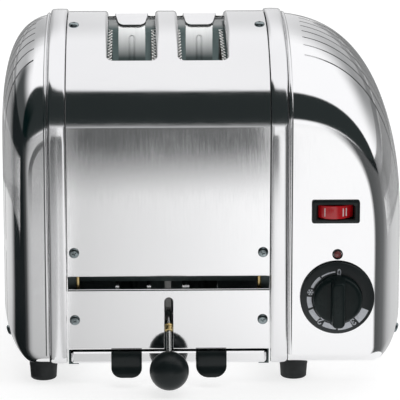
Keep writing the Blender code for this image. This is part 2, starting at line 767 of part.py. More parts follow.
def rod_points():
    """The rod's line: out from the pivot, round a knee and straight down into the ball."""
    reach = 6.0 * MM
    first = ROD_KNEE + (ROD_START - ROD_KNEE).normalized() * reach
    last = ROD_KNEE - rod_direction() * reach
    points = [ROD_START]
    for step in range(7):
        share = step / 6
        points.append(first.lerp(ROD_KNEE, share).lerp(ROD_KNEE.lerp(last, share), share))
    points.append(Vector((0.0, BALL_Y, BALL_Z)) + rod_direction() * 8 * MM)
    return points


def fork_outline():
    """Lever plate about its pivot: a boss, an arm and two prongs round the crossbar."""
    boss = 6.5 * MM
    prong = 5.8 * MM
    root, tip = 65.0 * MM, 76.0 * MM
    gap = CROSSBAR_RADIUS + 1.5 * MM
    points = arc((0.0, 0.0), boss, 40, 320, 12)
    points += [(root, -prong), (tip, -prong), (tip, -gap), (root, -gap),
               (root, gap), (tip, gap), (tip, prong), (root, prong)]
    cosine, sine = math.cos(FORK_ANGLE), math.sin(FORK_ANGLE)
    return [(u * cosine - v * sine, u * sine + v * cosine) for u, v in points]


def build_lever():
    """Lever on its pivot: the plate inside, the rod outside, bush and ball."""
    pivot = (0.0, PIVOT_Y, PIVOT_Z)
    bore = arc((0.0, 0.0), PIVOT_RADIUS + 0.4 * MM, 0, 330, 11)
    lever = add_object("lever_arm", prism_mesh([fork_outline(), bore], YZ_PLANE, -2 * MM, 2 * MM),
                       STEEL, location=pivot)
    rod = tube_mesh([point - Vector(pivot) for point in rod_points()], ROD_RADIUS)
    join(lever, rod, location=pivot)

    aim = Vector((0, 0, 1)).rotation_difference(rod_direction()).to_euler()
    length = 4.8 * MM
    bush = add_object("lever_bush", round_mesh(2.6 * MM, length, sides=16), BRASS,
                      location=BUSH - rod_direction() * length / 2, rotation=aim)
    cut(bush, round_mesh(ROD_RADIUS + 0.2 * MM, 3 * length, sides=12),
        location=BUSH - rod_direction() * 1.5 * length, rotation=aim)

    ball = add_object("lever_ball", ball_mesh(), BLACK, location=(0.0, BALL_Y, BALL_Z))
    cut(ball, round_mesh(ROD_RADIUS + 0.35 * MM, 20 * MM, sides=12),
        location=Vector((0.0, BALL_Y, BALL_Z)) + rod_direction() * 7.5 * MM, rotation=aim)


def ball_mesh():
    shape = bmesh.new()
    bmesh.ops.create_uvsphere(shape, u_segments=20, v_segments=12, radius=BALL_RADIUS)
    return finish_mesh("ball", shape)


def build_pivot():
    """The lever's shaft and the folded bracket that holds it off the channel."""
    reach = 11.0 * MM
    add_object("lever_shaft", round_mesh(PIVOT_RADIUS, 2 * reach, sides=14), STEEL,
               location=(-reach, PIVOT_Y, PIVOT_Z), rotation=(0, math.radians(90), 0))
    floor = CHANNEL_TOP_Z + GAP
    outer, inner, top = 9.0 * MM, 7.5 * MM, PIVOT_Z + 7 * MM
    outline = [(-outer, floor), (outer, floor), (outer, top), (inner, top),
               (inner, floor + 1.5 * MM), (-inner, floor + 1.5 * MM), (-inner, top), (-outer, top)]
    bracket = add_object("lever_bracket",
                         prism_mesh([outline], XZ_PLANE, PIVOT_Y - 7 * MM, PIVOT_Y + 7 * MM), STEEL)
    cut(bracket, round_mesh(PIVOT_RADIUS + 0.3 * MM, 30 * MM, sides=14),
        location=(-15 * MM, PIVOT_Y, PIVOT_Z), rotation=(0, math.radians(90), 0))


# ---------------------------------------------------------------- base and crumb tray

def build_channel():
    """Folded base plate with two crumb windows and a slot for the lever's fork."""
    wide = SHEET_HALF_WIDTH - 0.2 * MM
    top, low = CHANNEL_TOP_Z, CHANNEL_LIP_Z
    sheet = 0.9 * MM
    lip = 6.5 * MM
    outline = [(-wide, top), (-wide, low), (-wide + lip, low), (-wide + lip, low + sheet),
               (-wide + sheet, low + sheet), (-wide + sheet, top - sheet),
               (wide - sheet, top - sheet), (wide - sheet, low + sheet),
               (wide - lip, low + sheet), (wide - lip, low), (wide, low), (wide, top)]
    plate = add_object("base_plate", prism_mesh([outline], XZ_PLANE, -CHANNEL_HALF_LENGTH,
                                                CHANNEL_HALF_LENGTH), STEEL)
    for side in (-1, 1):
        window = rounded_rectangle(12 * MM, 58 * MM, 3 * MM, (side * SLOT_X, 0.0), steps=2)
        cut(plate, prism_mesh([window], XY_PLANE, top - 3 * MM, top + 3 * MM))
    clearance = rounded_rectangle(3.4 * MM, 18 * MM, 3 * MM, (0.0, -8 * MM), steps=2)
    cut(plate, prism_mesh([clearance], XY_PLANE, top - 3 * MM, top + 3 * MM))


def build_crumb_tray():
    """Open tray with an upright front strip and two finger tabs."""
    front = -(BODY_HALF_DEPTH - PANEL_INSET)
    back = 96.0 * MM
    sheet = 0.9 * MM
    tray = add_object("crumb_tray", box_mesh((-TRAY_HALF_WIDTH, front, TRAY_BOTTOM_Z),
                                             (TRAY_HALF_WIDTH, back, TRAY_TOP_Z)), POLISHED)
    bevel(tray, 1.5 * MM, segments=1, angle=60)
    cut(tray, box_mesh((-TRAY_HALF_WIDTH + sheet, front + sheet, TRAY_BOTTOM_Z + sheet),
                       (TRAY_HALF_WIDTH - sheet, back - sheet, TRAY_TOP_Z + 5 * MM)))
    build_tray_tab("left", -TAB_X, front)
    build_tray_tab("right", TAB_X, front)


def build_tray_tab(name, x, face_y):
    """Finger tab: a curled strip with a lip that flares out, round at its lower corners."""
    half = 9.75 * MM
    low, high = 7.0 * MM, 22.3 * MM
    corner = 5.0 * MM
    thickness = 2.2 * MM
    curl = [(2.6, 22.3), (3.6, 20.8), (4.3, 18.5), (4.5, 16.0), (4.3, 13.8), (5.0, 11.5),
            (6.6, 9.0), (8.8, 7.0)]
    face = [(face_y - out * MM, z * MM) for out, z in curl]
    rear = [(y + thickness, z + 0.25 * thickness * (z < 10 * MM)) for y, z in face]
    tab = add_object("tray_tab_" + name,
                     prism_mesh([face + rear[::-1]], YZ_PLANE, x - half, x + half), BLACK)
    outline = arc((half - corner, low + corner), corner, -90, 0, 4)
    outline += [(half, high + MM), (-half, high + MM)]
    outline += arc((-half + corner, low + corner), corner, 180, 270, 4)
    placed = [(x + u, z) for u, z in outline]
    keep_inside(tab, prism_mesh([placed], XZ_PLANE, face_y - 12 * MM, face_y + 5 * MM))


# ---------------------------------------------------------------- controls and electrics

def build_knob():
    """Timer knob: dial skirt, hub and bar grip, turned and joined, on its spindle."""
    seat_y = -BODY_HALF_DEPTH - 0.6 * MM
    place = (KNOB_X, seat_y, KNOB_Z)
    hub = 15.9 * MM
    profile = [(0.0, 9 * MM), (hub - 1.5 * MM, 9 * MM), (hub, 8 * MM), (hub + 0.5 * MM, 3.6 * MM),
               (KNOB_RADIUS - 1.2 * MM, 2.6 * MM), (KNOB_RADIUS, 1.4 * MM), (KNOB_RADIUS, 0.0),
               (2.9 * MM, 0.0), (2.9 * MM, 6 * MM), (0.0, 6 * MM)]
    knob = turned_part("timer_knob", profile, BLACK, 32, place, FACE_FRONT)
    grip = rounded_rectangle(4.2 * MM, 16.0 * MM, 3 * MM, (0.0, -1 * MM), steps=3)
    join(knob, prism_mesh([grip], XY_PLANE, 8 * MM, 18.5 * MM), location=place, rotation=FACE_FRONT)
    add_object("timer_spindle", round_mesh(2.5 * MM, 12.5 * MM, sides=12), STEEL,
               location=(KNOB_X, -93.5 * MM, KNOB_Z), rotation=FACE_FRONT)
    body = add_object("timer_body", box_mesh((KNOB_X - 18 * MM, -93 * MM, KNOB_Z - 17 * MM),
                                             (KNOB_X + 18 * MM, -64 * MM, KNOB_Z + 17 * MM)), STEEL)
    bevel(body, 2 * MM, segments=1)


def build_switch():
    """Rocker in a bezel whose body goes back through the cover."""
    front = -BODY_HALF_DEPTH - GAP
    body = add_object("switch_body",
                      box_mesh((SWITCH_X - 15.15 * MM, front - 2.4 * MM, SWITCH_Z - 7.35 * MM),
                               (SWITCH_X + 15.15 * MM, front, SWITCH_Z + 7.35 * MM)), BLACK)
    bevel(body, 0.8 * MM, segments=2)
    join(body, box_mesh((SWITCH_X - 13.2 * MM, front - 1 * MM, SWITCH_Z - 5.6 * MM),
                        (SWITCH_X + 13.2 * MM, -78 * MM, SWITCH_Z + 5.6 * MM)))
    cut(body, box_mesh((SWITCH_X - 11.6 * MM, -110 * MM, SWITCH_Z - 4.7 * MM),
                       (SWITCH_X + 11.6 * MM, -88 * MM, SWITCH_Z + 4.7 * MM)))
    face = [(u, v) for u, v in arc((0.0, 9 * MM), 14.6 * MM, 219.6, 320.4, 8)]
    outline = face + [(9.6 * MM, 8 * MM), (-9.6 * MM, 8 * MM)]
    mesh = prism_mesh([outline], XY_PLANE, -4.35 * MM, 4.35 * MM)
    rocker = add_object("rocker", mesh, RED, location=(SWITCH_X, -98.0 * MM, SWITCH_Z),
                        rotation=(0, 0, ROCKER_TILT))
    bevel(rocker, 0.4 * MM, segments=1)


def build_lamp():
    profile = [(0.0, 2.4 * MM), (1.8 * MM, 2.1 * MM), (3.0 * MM, 1.2 * MM), (3.4 * MM, 0.5 * MM),
               (3.4 * MM, 0.0), (2.7 * MM, 0.0), (2.7 * MM, -5 * MM), (0.0, -5 * MM)]
    turned_part("lamp_lens", profile, LENS, 16, (KNOB_X, -BODY_HALF_DEPTH - GAP, LAMP_Z), FACE_FRONT)
    add_object("lamp_body", round_mesh(4.5 * MM, 12 * MM, sides=14), BLACK,
               location=(KNOB_X, -82.0 * MM, LAMP_Z), rotation=FACE_FRONT)


def build_gland():
    """Cord gland through the back face, and the terminal block inside it."""
    face = BODY_HALF_DEPTH + GAP
    out = GLAND_BACK_Y - face
    profile = [(3.8 * MM, out), (6.0 * MM, out), (7.0 * MM, out - 1.2 * MM), (8.6 * MM, 2.2 * MM),
               (8.6 * MM, 0.0), (5.3 * MM, 0.0), (5.3 * MM, -7 * MM), (3.8 * MM, -7 * MM)]
    turned_part("cord_gland", profile, BLACK, 20, (GLAND_X, face, GLAND_Z), FACE_BACK)
    block = add_object("terminal_block", box_mesh((98 * MM, 62 * MM, 30 * MM),
                                                  (126 * MM, 78 * MM, 44 * MM)), BLACK)
    bevel(block, 1 * MM, segments=1)


def build_posts():
    """Brass posts that show in the gap between the two front panels."""
    for name, x in (("left", -57.6 * MM), ("right", 57.6 * MM)):
        base = CHANNEL_TOP_Z + GAP
        add_object("spacer_post_" + name, round_mesh(1.3 * MM, 80 * MM - base, sides=12), BRASS,
                   location=(x, -91.5 * MM, base))


def main():
    build_top_cover()
    build_crown_screw_holes()
    build_panels()
    build_ends()
    build_screws()
    build_feet()
    build_chambers()
    build_carriers()
    build_lever()
    build_pivot()
    build_channel()
    build_crumb_tray()
    build_knob()
    build_switch()
    build_lamp()
    build_gland()
    build_posts()


main()
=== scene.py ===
"""Looks of a two slot pop up toaster in polished steel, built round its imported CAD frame."""

import math

import bmesh
import bpy
from mathutils import Matrix, Vector


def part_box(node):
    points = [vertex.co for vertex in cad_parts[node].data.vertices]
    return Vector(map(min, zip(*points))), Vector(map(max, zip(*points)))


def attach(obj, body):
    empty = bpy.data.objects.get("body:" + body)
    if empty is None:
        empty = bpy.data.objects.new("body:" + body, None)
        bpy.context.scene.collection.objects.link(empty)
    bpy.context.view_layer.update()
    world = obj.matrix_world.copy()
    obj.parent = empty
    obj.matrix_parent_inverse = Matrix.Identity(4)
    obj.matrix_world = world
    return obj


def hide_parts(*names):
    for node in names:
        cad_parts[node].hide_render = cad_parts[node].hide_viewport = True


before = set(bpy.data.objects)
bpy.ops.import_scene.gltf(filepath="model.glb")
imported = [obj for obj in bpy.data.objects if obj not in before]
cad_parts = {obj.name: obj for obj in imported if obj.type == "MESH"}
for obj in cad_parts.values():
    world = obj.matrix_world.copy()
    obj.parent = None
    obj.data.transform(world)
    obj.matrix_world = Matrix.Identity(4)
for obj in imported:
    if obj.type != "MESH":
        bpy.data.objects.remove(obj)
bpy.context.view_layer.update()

# ---------------------------------------------------------------- driving dimensions
# Shapes are drawn in millimetres about the middle of the body, which stands at ORIGIN.

MM = 0.001
ON_AXIS = 1e-4


def middle(node):
    low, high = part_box(node)
    return (low + high) / 2


ORIGIN = Vector((middle("front_panel").x, middle("left_end_frame").y, 0.0))


def spot(node):
    """Middle of a CAD node in millimetres about the body's middle."""
    return (middle(node) - ORIGIN) / MM


def reach(node):
    """Lowest and highest corner of a CAD node in the same units."""
    low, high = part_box(node)
    return (low - ORIGIN) / MM, (high - ORIGIN) / MM


def half_size(node):
    low, high = reach(node)
    return (high - low) / 2


HALF_DEPTH = 100.0
SHOULDER = 159.0
CROWN = 218.0
CROWN_POWER = 2.31
BAND_INNER, BAND_OUTER = 64.75, 75.7
BAND_PROUD = 1.6
BAND_BOTTOM = 13.2
SEAM = 76.0
SHEET_HALF = 64.1
SHEET = 1.0
PANEL_Y = 98.5
COVER_EDGE = 168.8
SLOT_X = 22.65
SLOT_HALF_WIDTH = 15.5
SLOT_HALF_LENGTH = 68.0
SLOT_ROLL = 2.2
LEVER_SLOT_HALF = 2.8
LEVER_SLOT_TOP = 57.7
KNOB = spot("timer_spindle")
SKIRT_RADIUS = 23.6
HUB_RADIUS = 15.9
ROCKER = spot("switch_body")
LAMP = spot("lamp_lens")
BALL = spot("lever_ball")
BALL_RADIUS = 12.5

# End covers: each pair holds the value at the cover's front edge and at its middle.
LEFT_COVER = dict(side=-1, pole_x=59.0, side_x=(85.6, 107.5), corner_z=(135.0, 135.2),
                  top_z=(160.0, 217.0), power=(2.75, 3.26), slit_x=85.0)
RIGHT_COVER = dict(side=1, pole_x=61.4, side_x=(129.6, 152.5), corner_z=(79.3, 83.9),
                   top_z=(166.0, 216.5), power=(3.1, 2.52), slit_x=87.0)
COVER_BOTTOM = (20.0, 13.8)
COVER_FILLET = 6.0
COVER_SHEET = 0.8
BEAD_RADIUS = 1.1
FOOT_CORNER_WIDTH = (4.0, 15.0)
FOOT_CORNER_HEIGHT = (4.0, 24.0)
SLIT_WIDTH, SLIT_PITCH, SLIT_COUNT = 1.5, 13.6, 10
SLIT_LEVELS = (86.0, 78.5)  # foot of the upper slits and head of the lower ones


# ---------------------------------------------------------------- mesh helpers

def new_object(name, data, at=(0.0, 0.0, 0.0)):
    thing = bpy.data.objects.new(name, data)
    bpy.context.scene.collection.objects.link(thing)
    thing.location = at
    return thing


def new_mesh(name, points, faces, outwards=True):
    """Mesh from points in millimetres, with coincident points merged."""
    mesh = bpy.data.meshes.new(name)
    mesh.from_pydata([Vector(p) * MM for p in points], [], faces)
    shape = bmesh.new()
    shape.from_mesh(mesh)
    bmesh.ops.remove_doubles(shape, verts=shape.verts, dist=1e-6)
    if outwards:
        bmesh.ops.recalc_face_normals(shape, faces=shape.faces)
    shape.to_mesh(mesh)
    shape.free()
    return mesh


def add_piece(name, shape, look, body="housing", replaces=None, sharp=30.0,
              outwards=True):
    """Shape drawn in millimetres about the body's middle, riding on a CAD body.

    It stands in for the node that it replaces.
    """
    piece = new_object(name, new_mesh(name, *shape, outwards), ORIGIN)
    dress(piece, look, sharp)
    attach(piece, body)
    if replaces:
        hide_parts(replaces)
    return piece


def dress(piece, look, sharp=30.0):
    piece.data.materials.clear()
    piece.data.materials.append(look)
    for face in piece.data.polygons:
        face.use_smooth = True
    piece.data.set_sharp_from_angle(angle=math.radians(sharp))


def grid_faces(rows, columns, wrap_rows=False, wrap_columns=False):
    """Quads over a grid of points stored row by row."""
    faces = []
    for i in range(rows if wrap_rows else rows - 1):
        for j in range(columns if wrap_columns else columns - 1):
            near, far = i * columns, (i + 1) % rows * columns
            faces.append((near + j, near + (j + 1) % columns, far + (j + 1) % columns, far + j))
    return faces


def loft(rings):
    """Points and faces of a skin over closed rings with equal counts; its ends are flat."""
    count = len(rings[0])
    points = [p for ring in rings for p in ring]
    faces = grid_faces(len(rings), count, wrap_columns=True)
    faces.append(tuple(range(count)))
    faces.append(tuple(range(len(points) - count, len(points))))
    return points, faces


def swept(lines):
    """Points and faces of a closed section's lines run side by side; its two ends are flat."""
    count = len(lines[0])
    points = [p for line in lines for p in line]
    faces = grid_faces(len(lines), count, wrap_rows=True)
    faces.append(tuple(k * count for k in range(len(lines))))
    faces.append(tuple(k * count + count - 1 for k in range(len(lines))))
    return points, faces


def thick_sheet(front, back, columns):
    """Points and faces of a sheet given by the grids of its two sides."""
    rows, total = len(front) // columns, len(front)
    faces = grid_faces(rows, columns)
    faces += [tuple(i + total for i in reversed(face)) for face in faces]
    borders = ([i * columns for i in range(rows)],
               [i * columns + columns - 1 for i in range(rows)],
               list(range(columns)), list(range(total - columns, total)))
    for line in borders:
        faces += [(a, b, b + total, a + total) for a, b in zip(line, line[1:])]
    return front + back, faces


def arc(centre, radius, start, end, steps):
    return [(centre[0] + radius * math.cos(math.radians(start + (end - start) * k / steps)),
             centre[1] + radius * math.sin(math.radians(start + (end - start) * k / steps)))
            for k in range(steps + 1)]


def rounded_box_outline(half_width, half_height, radius, steps=6, centre=(0.0, 0.0)):
    points = []
    for sx, sy, start in ((1, -1, -90), (1, 1, 0), (-1, 1, 90), (-1, -1, 180)):
        corner = (centre[0] + sx * (half_width - radius), centre[1] + sy * (half_height - radius))
        points += arc(corner, radius, start, start + 90, steps)
    return points


def turned(profile, steps, hollow=False):
    """Points and faces of a (radius, height) profile turned about Z.

    The profile closes on the axis, or on itself for a hollow ring.
    """
    rings = []
    for radius, height in profile:
        radius = max(radius, ON_AXIS)
        rings.append([(radius * math.cos(2 * math.pi * k / steps),
                       radius * math.sin(2 * math.pi * k / steps), height) for k in range(steps)])
    return ring_wall(rings) if hollow else loft(rings)


def ring_wall(rings):
    """Points and faces of a wall that closes both ways round, such as a washer's."""
    return ([p for ring in rings for p in ring],
            grid_faces(len(rings), len(rings[0]), wrap_rows=True, wrap_columns=True))


def moved(shape, matrix):
    points, faces = shape
    return [tuple(matrix @ Vector(p)) for p in points], faces


def facing(direction, at):
    """Matrix that turns local +Z to a direction, with local +Y kept as upright as can be."""
    forward = Vector(direction).normalized()
    up = Vector((0, 0, 1)) if abs(forward.z) < 0.9 else Vector((0, 1, 0))
    right = up.cross(forward).normalized()
    turned_up = forward.cross(right)
    turn = Matrix((right, turned_up, forward)).transposed().to_4x4()
    return Matrix.Translation(Vector(at)) @ turn


def tube(points, radius, sides=16):
    """Points and faces of a round bar along a line of points."""
    points = [Vector(p) for p in points]
    rings, normal = [], None
    for k, point in enumerate(points):
        ahead = (points[min(k + 1, len(points) - 1)] - points[max(k - 1, 0)]).normalized()
        if normal is None:
            normal = ahead.orthogonal().normalized()
        normal = (normal - ahead * normal.dot(ahead)).normalized()
        other = ahead.cross(normal)
        rings.append([point + radius * (normal * math.cos(2 * math.pi * j / sides)
                                        + other * math.sin(2 * math.pi * j / sides))
                      for j in range(sides)])
    return loft(rings)


def joined(*parts):
    """Several (points, faces) shapes as one."""
    points, faces = [], []
    for more_points, more_faces in parts:
        start = len(points)
        points += [tuple(p) for p in more_points]
        faces += [tuple(start + i for i in face) for face in more_faces]
    return points, faces


def prism(outline, low, high):
    """Outline in X and Y raised from low to high along Z."""
    return loft([[(x, y, z) for x, y in outline] for z in (low, high)])


def bar_along_x(section, half, sign=1):
    """Section in Y and Z run from -half to half along X; a sign of -1 mirrors it to the back."""
    return loft([[(x, sign * y, z) for y, z in section] for x in (-half, half)])


# Cutters for the front: drawn in X and Y, raised between these depths and turned to face -Y.
FRONT_CUT = (90.0, 110.0)
FROM_THE_FRONT = Matrix.Rotation(math.radians(90), 4, "X")


def modify(piece, kind, **values):
    modifier = piece.modifiers.new(kind.lower(), kind)
    for key, value in values.items():
        setattr(modifier, key, value)
    return modifier


def carve(piece, shape, matrix=Matrix.Identity(4)):
    """Cuts a closed shape out of a piece and keeps the result as its mesh."""
    cutter = new_object("cutter", new_mesh("cutter", *moved(shape, matrix)), ORIGIN)
    modify(piece, "BOOLEAN", object=cutter, operation="DIFFERENCE", solver="EXACT")
    bake_modifiers(piece)
    mesh = cutter.data
    bpy.data.objects.remove(cutter)
    bpy.data.meshes.remove(mesh)


def bake_modifiers(piece):
    """Keeps the mesh as its modifiers leave it."""
    bpy.context.view_layer.update()
    evaluated = piece.evaluated_get(bpy.context.evaluated_depsgraph_get())
    mesh = bpy.data.meshes.new_from_object(evaluated)
    piece.modifiers.clear()
    piece.data = mesh


def soften(piece, width, segments=2, angle=35.0):
    modify(piece, "BEVEL", width=width * MM, segments=segments, limit_method="ANGLE",
           angle_limit=math.radians(angle), harden_normals=False)
    modify(piece, "WEIGHTED_NORMAL", keep_sharp=True, weight=60)


# ---------------------------------------------------------------- materials

class Tree:
    """Shorthand for the shader nodes of a material or a world."""

    def __init__(self, owner):
        owner.use_nodes = True
        self.nodes, self.links = owner.node_tree.nodes, owner.node_tree.links

    def feed(self, socket, value):
        """Gives a socket a constant, or the output of another node."""
        if isinstance(value, bpy.types.NodeSocket):
            self.links.new(value, socket)
        elif value is not None:
            socket.default_value = value

    def node(self, kind, inputs=None, **settings):
        """Adds a node and returns its outputs."""
        node = self.nodes.new("ShaderNode" + kind)
        for key, value in settings.items():
            setattr(node, key, value)
        for key, value in (inputs or {}).items():
            self.feed(node.inputs[key], value)
        return node.outputs

    def places(self, space="Object"):
        """X, Y and Z of a place on the object, or of a direction of the world."""
        split = self.node("SeparateXYZ", {"Vector": self.node("TexCoord")[space]})
        return [split[axis] for axis in "XYZ"]

    def noise(self, scale, detail, stretch=(1.0, 1.0, 1.0), roughness=0.5):
        """Noise in object space, stretched along an axis for grain."""
        mapped = self.node("Mapping", {"Vector": self.node("TexCoord")["Object"],
                                       "Scale": stretch})["Vector"]
        return self.node("TexNoise", {"Vector": mapped, "Scale": scale, "Detail": detail,
                                      "Roughness": roughness})["Fac"]

    def spread(self, source, low, high, start=0.3, end=0.7, kind="LINEAR"):
        """A value brought from one range to another."""
        return self.node("MapRange", {"Value": source, "From Min": start, "From Max": end,
                                      "To Min": low, "To Max": high},
                         interpolation_type=kind)["Result"]

    def maths(self, operation, first, second=None):
        return self.node("Math", {0: first, 1: second}, operation=operation)["Value"]

    def mixed(self, factor, first, second, kind="FLOAT"):
        return self.node("Mix", {"Factor": factor, "A": first, "B": second},
                         data_type=kind)["Result"]

    def tinted(self, factor, first, second):
        return self.mixed(factor, (*first, 1.0), (*second, 1.0), "RGBA")

    def bump(self, height, strength, distance, before=None):
        return self.node("Bump", {"Height": height, "Strength": strength, "Distance": distance,
                                  "Normal": before})["Normal"]


def new_material(name, **values):
    """Material whose shader inputs are named with underscores for spaces."""
    material = bpy.data.materials.new(name)
    tree = Tree(material)
    dress_shader(tree, **values)
    return material, tree


def dress_shader(tree, **values):
    shader = tree.nodes["Principled BSDF"]
    for key, value in values.items():
        tree.feed(shader.inputs[key.replace("_", " ")], value)


def surface(name, first, second, rough, metallic=0.0, patch=30.0, grain=900.0,
            stretch=(1.0, 1.0, 1.0), grain_bump=0.1, wave=0.0, grain_tone=0.0, **constants):
    """Material with cloudy colour, uneven roughness, a fine grain and a slow waviness."""
    material, tree = new_material(name, Metallic=metallic, **constants)
    fine = tree.noise(grain, 3.0, stretch, 0.6)
    shade = tree.spread(tree.noise(patch, 5.0), 0.0, 1.0)
    if grain_tone:
        shade = tree.mixed(grain_tone, shade, tree.spread(fine, 0.0, 1.0))
    smear = tree.mixed(0.5, tree.noise(patch * 2.3, 6.0), fine)
    normal = tree.bump(fine, grain_bump, 0.00005)
    if wave:
        normal = tree.bump(tree.noise(14.0, 1.0), wave, 0.001, before=normal)
    dress_shader(tree, Base_Color=tree.tinted(shade, first, second), Normal=normal,
                 Roughness=tree.spread(smear, *rough, start=0.35, end=0.65))
    return material


def painted_shade_downwards(material, high, low, colour):
    """Darkens a look downwards between two heights: painted shade for the light that fades down
    into the chamber.
    """
    tree = Tree(material)
    before = tree.nodes["Principled BSDF"].inputs["Base Color"].links[0].from_socket
    share = tree.spread(tree.places()[2], 0.0, 1.0, high, low)
    dress_shader(tree, Base_Color=tree.mixed(share, before, (*colour, 1.0), "RGBA"))


POLISHED = surface("polished_steel_look", (0.90, 0.90, 0.905), (0.86, 0.86, 0.87), (0.05, 0.12),
                   metallic=1.0, patch=9.0, grain=1600.0, stretch=(1.0, 0.25, 0.06),
                   grain_bump=0.03, wave=0.02, grain_tone=0.25)
CROWN_STEEL = surface("polished_crown_look", (0.81, 0.81, 0.815), (0.77, 0.77, 0.78),
                      (0.07, 0.14), metallic=1.0, patch=10.0, grain=1500.0,
                      stretch=(0.06, 1.0, 1.0), grain_bump=0.03, wave=0.015, grain_tone=0.25)
CAST = surface("polished_casting_look", (0.84, 0.84, 0.85), (0.79, 0.79, 0.80), (0.10, 0.17),
               metallic=1.0, patch=16.0, grain=1200.0, grain_bump=0.04, wave=0.03)
STEEL = surface("plain_steel_look", (0.42, 0.42, 0.41), (0.33, 0.33, 0.325), (0.28, 0.45),
                metallic=1.0, patch=22.0, grain=700.0, stretch=(0.1, 1.0, 1.0), grain_bump=0.12,
                grain_tone=0.4)
GUIDE_STEEL = surface("guide_strip_look", (0.84, 0.85, 0.85), (0.72, 0.73, 0.73), (0.42, 0.55),
                      patch=25.0, grain=800.0, stretch=(1.0, 1.0, 0.06), grain_tone=0.5)
# Painted shade: the guide strips go dark from their top edge down, where less light reaches into
# the chamber.
painted_shade_downwards(GUIDE_STEEL, 0.198, 0.177, (0.04, 0.052, 0.052))
FLANGE_STEEL = surface("chamber_flange_look", (0.36, 0.37, 0.37), (0.26, 0.27, 0.27),
                       (0.42, 0.55), metallic=0.2, patch=25.0, grain=800.0, grain_bump=0.1)
# Painted shade: the flange darkens towards its lower edge, and its dark foot fills the shadow gap
# under the crown.
painted_shade_downwards(FLANGE_STEEL, 0.1992, 0.1962, (0.10, 0.13, 0.13))
GAP_STEEL = surface("front_plate_look", (0.30, 0.37, 0.37), (0.22, 0.28, 0.28), (0.4, 0.6),
                    metallic=0.2, patch=60.0, grain=600.0, grain_bump=0.15, grain_tone=0.4)
# Heat-darkened steel for the chamber plates; on the pieces behind the front panels' gap the same
# dark colour is painted shade.
DARK_STEEL = surface("heat_darkened_steel_and_gap_shade_look", (0.13, 0.17, 0.17), (0.08, 0.105, 0.105),
                     (0.4, 0.6), metallic=0.3, patch=30.0, grain=600.0,
                     stretch=(1.0, 1.0, 0.1), grain_bump=0.15, grain_tone=0.4)
ZINC = surface("screw_steel_look", (0.34, 0.39, 0.40), (0.22, 0.26, 0.27), (0.16, 0.3),
               metallic=1.0, patch=300.0, grain=2500.0, grain_bump=0.15)
WIRE = surface("wire_look", (0.66, 0.66, 0.65), (0.48, 0.48, 0.47), (0.15, 0.3), metallic=1.0,
               patch=120.0, grain=1500.0, grain_bump=0.1)
BRIGHT_WIRE = surface("bright_wire_look", (0.92, 0.92, 0.90), (0.78, 0.78, 0.76), (0.3, 0.45),
                      patch=120.0, grain=1500.0, grain_bump=0.1)
BRASS = surface("brass_look", (0.72, 0.56, 0.27), (0.58, 0.42, 0.18), (0.2, 0.34), metallic=1.0,
                patch=150.0, grain=2000.0, stretch=(1.0, 1.0, 0.2), grain_bump=0.15)
BLACK = surface("moulded_black_look", (0.008, 0.012, 0.0125), (0.013, 0.019, 0.0195),
                (0.26, 0.40), patch=60.0, grain=1800.0, grain_bump=0.18,
                Specular_IOR_Level=0.28)
DIAL_BLACK = surface("dial_black_look", (0.010, 0.014, 0.015), (0.016, 0.022, 0.023),
                     (0.38, 0.52), patch=60.0, grain=2200.0, grain_bump=0.25,
                     Specular_IOR_Level=0.42)
HUB_BLACK = surface("knob_black_look", (0.006, 0.011, 0.011), (0.010, 0.018, 0.018),
                    (0.24, 0.36), patch=50.0, grain=1800.0, grain_bump=0.2,
                    Specular_IOR_Level=0.17)
RUBBER = surface("foot_rubber_look", (0.010, 0.012, 0.012), (0.02, 0.023, 0.024), (0.55, 0.75),
                 patch=120.0, grain=1400.0, grain_bump=0.4, Specular_IOR_Level=0.35)
RED = surface("rocker_red_look", (0.52, 0.006, 0.012), (0.42, 0.004, 0.009), (0.12, 0.22),
              patch=90.0, grain=1500.0, grain_bump=0.05, Coat_Weight=0.3, Coat_Roughness=0.08)
LENS = surface("lamp_lens_look", (0.22, 0.07, 0.065), (0.16, 0.045, 0.045), (0.10, 0.2),
               patch=400.0, grain=1800.0, grain_bump=0.1, Coat_Weight=0.5, Coat_Roughness=0.05)
PRINT = surface("dial_print_look", (0.64, 0.66, 0.70), (0.52, 0.54, 0.58), (0.45, 0.6),
                patch=500.0, grain=2500.0, grain_bump=0.2)
ROCKER_PRINT = surface("rocker_print_look", (0.75, 0.62, 0.62), (0.62, 0.48, 0.48), (0.4, 0.55),
                       patch=500.0, grain=2500.0, grain_bump=0.2)
MICA = surface("mica_look", (0.13, 0.11, 0.085), (0.08, 0.066, 0.05), (0.5, 0.7), patch=70.0,
               grain=500.0, stretch=(1.0, 1.0, 0.4), grain_bump=0.3, grain_tone=0.4)
CERAMIC = surface("terminal_look", (0.52, 0.50, 0.46), (0.40, 0.38, 0.34), (0.45, 0.65),
                  patch=120.0, grain=900.0, grain_bump=0.3)


# ---------------------------------------------------------------- the body's section

def section_height(y):
    """Height of the crown's skin over a depth."""
    share = min(1.0, abs(y) / HALF_DEPTH)
    return SHOULDER + (CROWN - SHOULDER) * (1 - share ** CROWN_POWER) ** (1 / CROWN_POWER)


def crown_points(out, steps):
    """The arch from the front shoulder over the top to the back shoulder, as (y, z)."""
    half = HALF_DEPTH + out
    rise = CROWN - SHOULDER + out
    points = []
    for k in range(steps + 1):
        angle = math.pi * k / steps
        across = math.copysign(abs(math.cos(angle)) ** (2 / CROWN_POWER), -math.cos(angle))
        up = max(0.0, math.sin(angle)) ** (2 / CROWN_POWER)
        points.append((half * across, SHOULDER + rise * up))
    return points


def front_of(z, out):
    """Depth of a surface moved out from the body's front skin, at a height."""
    share = max(0.0, z - SHOULDER) / (CROWN - SHOULDER + out)
    return -(HALF_DEPTH + out) * (1 - share ** CROWN_POWER) ** (1 / CROWN_POWER)


